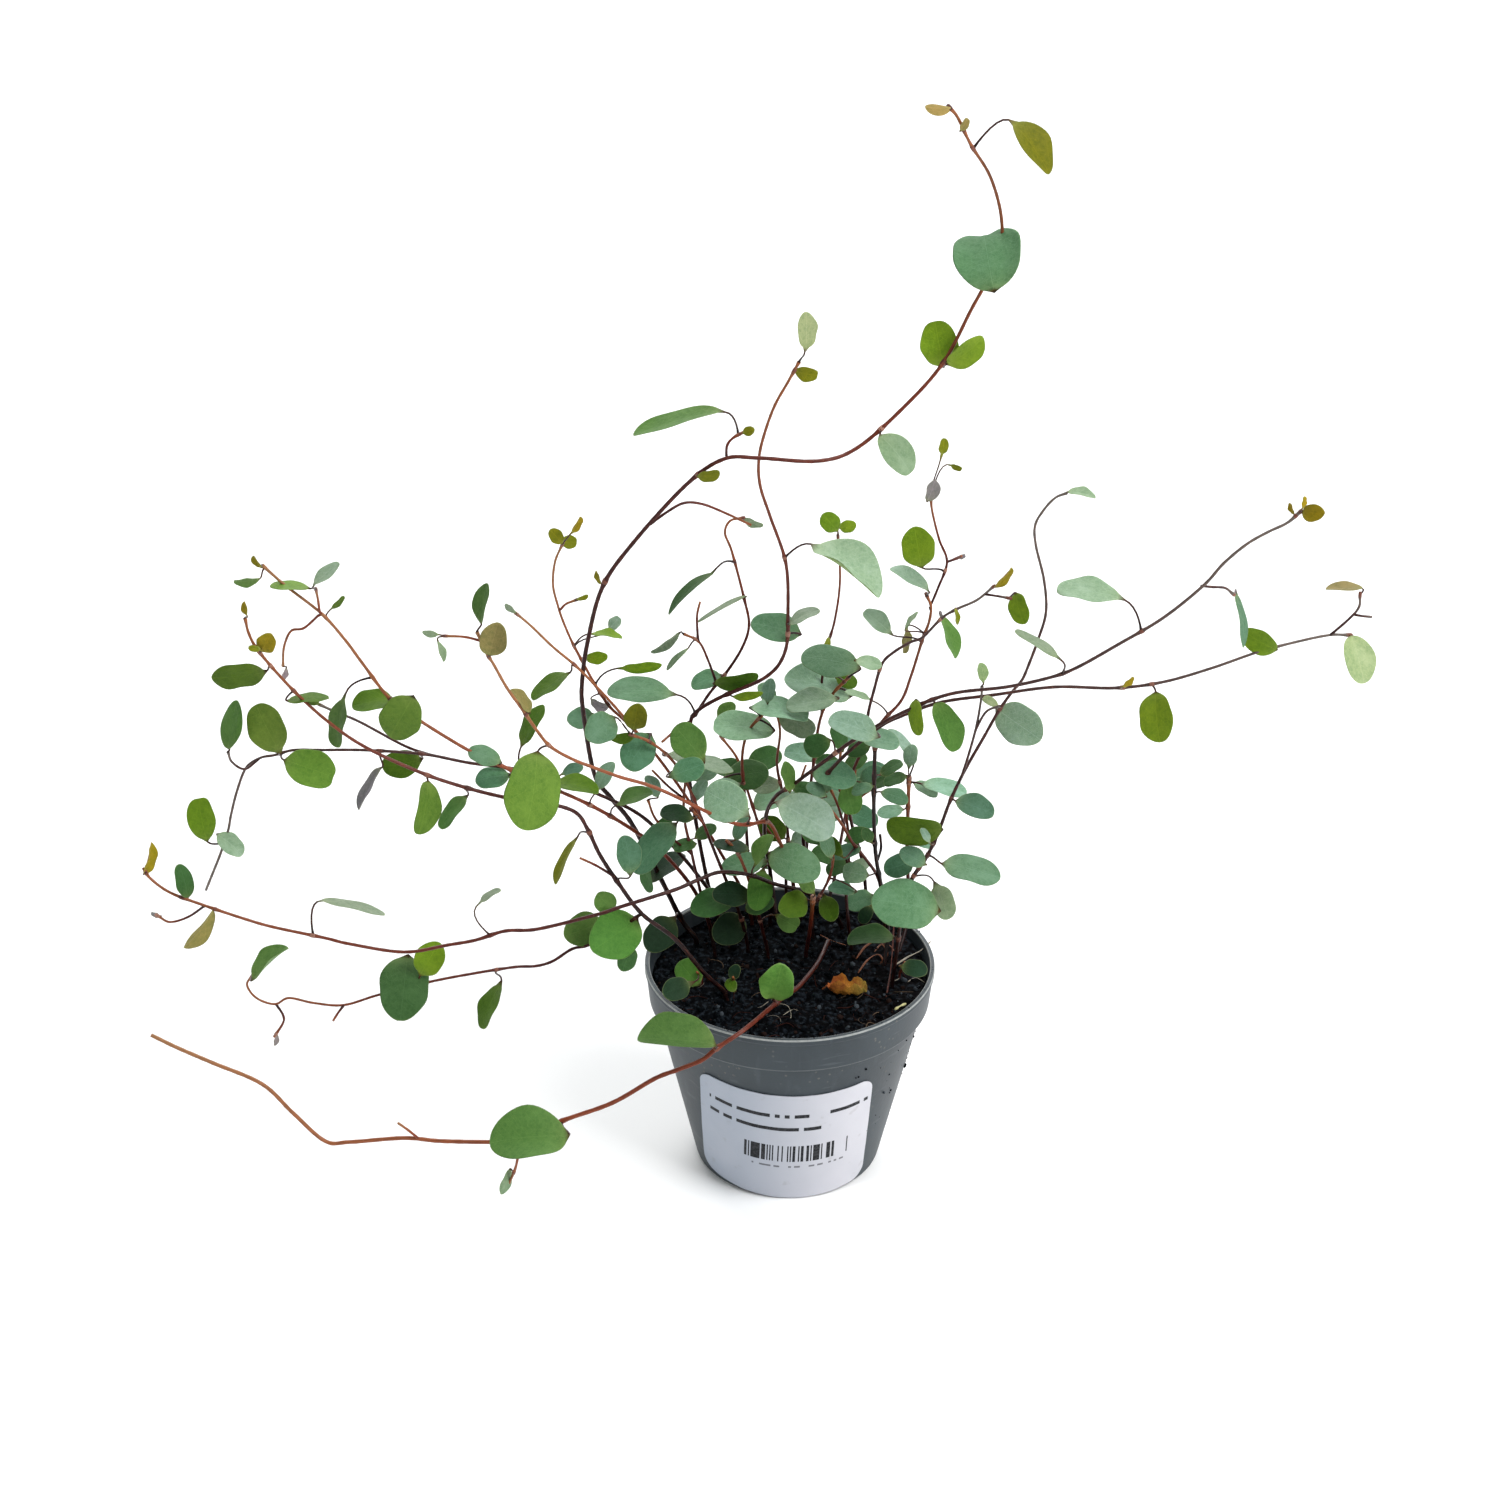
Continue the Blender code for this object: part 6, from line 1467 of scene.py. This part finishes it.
# Fallen leaf: one that dried and curled, and dropped on the peat with its stalk. Its sides and
# both of its ends stand up, and it rests on the crumbs with its middle.

DRY_LEAF_AT = (849, 990)
DRY_LEAF_MOVE = [-0.6, -3.0, 0.75]
DRY_LEAF_AHEAD = [0.97, -0.2, 0.06]
DRY_LEAF_FACE = [0.05, 0.1, 1.0]
DRY_LEAF_LENGTH = 12.4
DRY_LEAF_REACH = 5.9
DRY_LEAF_SIDES = 36
DRY_LEAF_RINGS = 30
DRY_LEAF_TONES = [(190, 104, 40), (200, 136, 50), (178, 156, 70)]
DRY_STALK = 1.6
DRY_STALK_DROP = [0, 0, 1.6]
DRY_STALK_POINTS = 7
DRY_STALK_SIDES = 8
DRY_STALK_RADIUS = 0.28
DRY_STALK_TONE = (150, 80, 38)


def withered():
    """Dry leaf: orange-brown with darker blotches and a pale midrib."""
    made = Finish("withered_leaf", Specular_IOR_Level=0.3)
    place = made.place()
    blotch = made.noise(place, 260.0, 4.0)
    net = made.cells(place, 800.0, "DISTANCE_TO_EDGE")
    colour = made.coated(
        made.mark("tone", "Color"), (blotch.rise(0.55, 0.3) * 0.75, (150, 80, 38)),
        (net.rise(0.09, 0.0) * 0.4, (92, 54, 30)))
    made.relief(blotch * 0.6 + net * 0.4, 0.25)
    return made.done(colour, 0.55 + blotch * 0.25)


def drop_leaf():
    """A closed grid whose points are lifted by the square of the way across, more towards both
    ends, by the fourth power of the way along, and by a crumple of three sines.
    """
    at = on_soil(*DRY_LEAF_AT) + DRY_LEAF_MOVE
    ahead = unit(np.array(DRY_LEAF_AHEAD))
    across = unit(np.cross(DRY_LEAF_FACE, ahead))
    normal = np.cross(ahead, across)
    angle = round_angles(DRY_LEAF_SIDES)
    share = (1 - np.cos(np.pi * np.linspace(0.04, 0.97, DRY_LEAF_RINGS)))[:, None] / 2
    half = np.sqrt(1 - (2 * share - 1) ** 2) * (1 - 0.22 * np.exp(-((share - 0.55) / 0.09) ** 2))
    along = (share - 0.5) * DRY_LEAF_LENGTH
    aside = half * np.cos(angle) * DRY_LEAF_REACH
    far = np.abs(2 * share - 1)
    rise = 0.17 * aside ** 2 * (0.8 + 0.5 * far) + 2.0 * far ** 4
    crumple = (0.3 * np.sin(along * 1.9 + aside) + 0.25 * np.sin(aside * 2.3 - along)
               + 0.14 * np.sin(along * 5))
    lift = rise + crumple + 0.16 * np.sin(angle)
    drawn_in = aside * (1 - 0.1 * np.abs(aside))
    rings = (at + ahead * along[..., None] + across * drawn_in[..., None]
             + normal * lift[..., None])
    growth = Growth()
    tone = np.broadcast_to(ramp(DRY_LEAF_TONES, share[:, 0])[:, None], rings.shape)
    growth.add(skin(rings, rings[0].mean(0), rings[-1].mean(0)), tone=on_rings(tone))
    share = np.linspace(0, 1, DRY_STALK_POINTS)[:, None]
    stalk = rings[0].mean(0) + share * (-ahead * DRY_STALK - DRY_STALK_DROP)
    rings = tube_rings(stalk, np.full(DRY_STALK_POINTS, DRY_STALK_RADIUS), DRY_STALK_SIDES)
    growth.add(skin(rings, stalk[0], stalk[-1]), tone=tint(*DRY_STALK_TONE))
    stand_for(growth.put_in("fallen_leaf", [withered()]), "dry_leaf")


drop_leaf()


# Dry litter: brown curled ends of old stems, a pale stalk and fine white roots. They lie on the
# peat where they fell.

LITTER_SIDES = 8
LITTER_STEPS = 6
LITTER_TONES = {"brown": (128, 78, 52), "red": (84, 42, 34), "pale": (166, 158, 142),
                "sere": (186, 182, 128)}
# (x, y, height over the peat) along each bit, its radius and its tone
LITTER = [
    ([(856, 962, 1.2), (866, 955, 3.4), (878, 953, 4.2), (887, 960, 2.6), (880, 968, 1.4)], 0.42, "brown"),
    ([(858, 975, 0.8), (868, 966, 2.4), (879, 963, 3.0), (886, 971, 1.2)], 0.38, "brown"),
    ([(893, 948, 9.0), (892, 962, 5.6), (890, 980, 2.4), (886, 998, 0.2)], 0.34, "red"),
    ([(895, 971, 2.2), (908, 966, 3.4), (921, 961, 4.0), (930, 954, 4.6)], 0.36, "pale"),
    ([(778, 1004, 0.3), (788, 1010, 1.3), (791, 1019, 0.9), (786, 1026, 0.3)], 0.16, "pale"),
    ([(783, 1016, 0.3), (794, 1012, 1.0), (803, 1015, 0.3)], 0.13, "pale"),
    ([(820, 936, 0.4), (832, 945, 1.6), (846, 947, 0.6)], 0.2, "brown"),
    ([(905, 985, 0.3), (915, 981, 1.2), (925, 984, 0.5)], 0.18, "pale"),
    ([(894, 1028, 6.6), (899, 1026, 7.1), (905, 1022, 6.6)], 0.5, "sere"),
    ([(872, 958, 0.6), (880, 951, 2.2), (890, 953, 2.6), (897, 961, 1.0)], 0.3, "brown"),
]


def drop_litter():
    """Each bit is a tube with a knotty radius that tapers at both ends, by the root of a sine."""
    growth = Growth()
    for route, radius, tone in LITTER:
        path = smooth_curve([on_soil(x, y) + [0, 0, rise] for x, y, rise in route], LITTER_STEPS)
        knots = 0.7 + 0.3 * np.sin(np.linspace(0, 1, len(path)) * 9)
        radii = radius * knots * np.sin(np.linspace(0.5, 2.7, len(path))) ** 0.4
        rings = tube_rings(path, radii, LITTER_SIDES)
        run = np.concatenate([rings.reshape(-1, 3), path[[0, -1]]])
        growth.add(skin(rings, path[0], path[-1]), tone=tint(*LITTER_TONES[tone]), run=run)
    litter = growth.put_in("dry_litter", [FOLIAGE[1]])
    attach(litter, "root")


drop_litter()


# Studio: a plain pale floor under a wide soft lamp at the back, a pale world, a large soft lamp
# up on the right, weaker ones on the left and behind, and the camera where the photograph was
# taken from.

FLOOR_SIZE = 4.0
WORLD_COLOUR = (0.92, 0.96, 1.0, 1.0)
WORLD_STRENGTH = 0.38
LIT_AT = np.array([0.0, 0.0, 0.14])
# name, place and width in metres, watts
LAMPS = [
    ("key", (0.95, -0.55, 1.25), 1.0, 26.0), ("fill", (-1.1, -0.8, 0.8), 1.1, 3.0),
    ("back", (-0.3, 1.0, 1.2), 0.9, 8.0), ("floor", (0.0, 3.0, 2.2), 4.0, 110.0),
]
SENSOR = 36.0
IMAGE_PIXELS = 1500
CLIP_END = 20.0


def stand(name, thing, right, up, away, at):
    """Put a lamp or a camera in place by its three axes. It looks against the third, away."""
    placed = bpy.data.objects.new(name, thing)
    matrix = np.eye(4)
    matrix[:3] = np.stack([right, up, away, at], 1)
    placed.matrix_world = matrix.T
    bpy.context.scene.collection.objects.link(placed)
    return placed


def studio():
    """The floor, the world and the lamps, which all look at the middle of the plant."""
    floor_points = np.array([(x, y, 0) for y in (-1, 1) for x in (-1, 1)]) * FLOOR_SIZE / MM
    pale = Finish("pale_floor")
    cloud = pale.noise(pale.place(), 2.0)
    colour = pale.coated((250, 250, 250), (cloud, (254, 254, 253)))
    floor = put_in("floor", floor_points, [(0, 1, 3, 2)], [], [pale.done(colour, 0.7 + cloud * 0.1)])

    world = bpy.data.worlds.new("pale_room")
    world.use_nodes = True
    sky = world.node_tree.nodes["Background"]
    sky.inputs["Color"].default_value = WORLD_COLOUR
    sky.inputs["Strength"].default_value = WORLD_STRENGTH
    bpy.context.scene.world = world
    for name, at, size, power in LAMPS:
        lamp = bpy.data.lights.new(name, "AREA")
        lamp.size = size
        lamp.energy = power
        away = unit(np.array(at) - LIT_AT)
        right = unit(np.cross([0, 0, 1.0], away))
        stand(name, lamp, right, np.cross(away, right), away, at)


def stand_camera():
    """The camera, in the place and with the lens that it had for the photograph."""
    ray, right, up = sight(CENTRE_PIXEL, CENTRE_PIXEL)
    lens = bpy.data.cameras.new("camera")
    lens.sensor_width = SENSOR
    lens.lens = SENSOR * FOCAL_PIXELS / IMAGE_PIXELS
    lens.clip_end = CLIP_END
    bpy.context.scene.camera = stand("camera", lens, right, up, -ray, CAMERA_AT * MM)


studio()
stand_camera()
bpy.context.scene.view_settings.view_transform = "Standard"
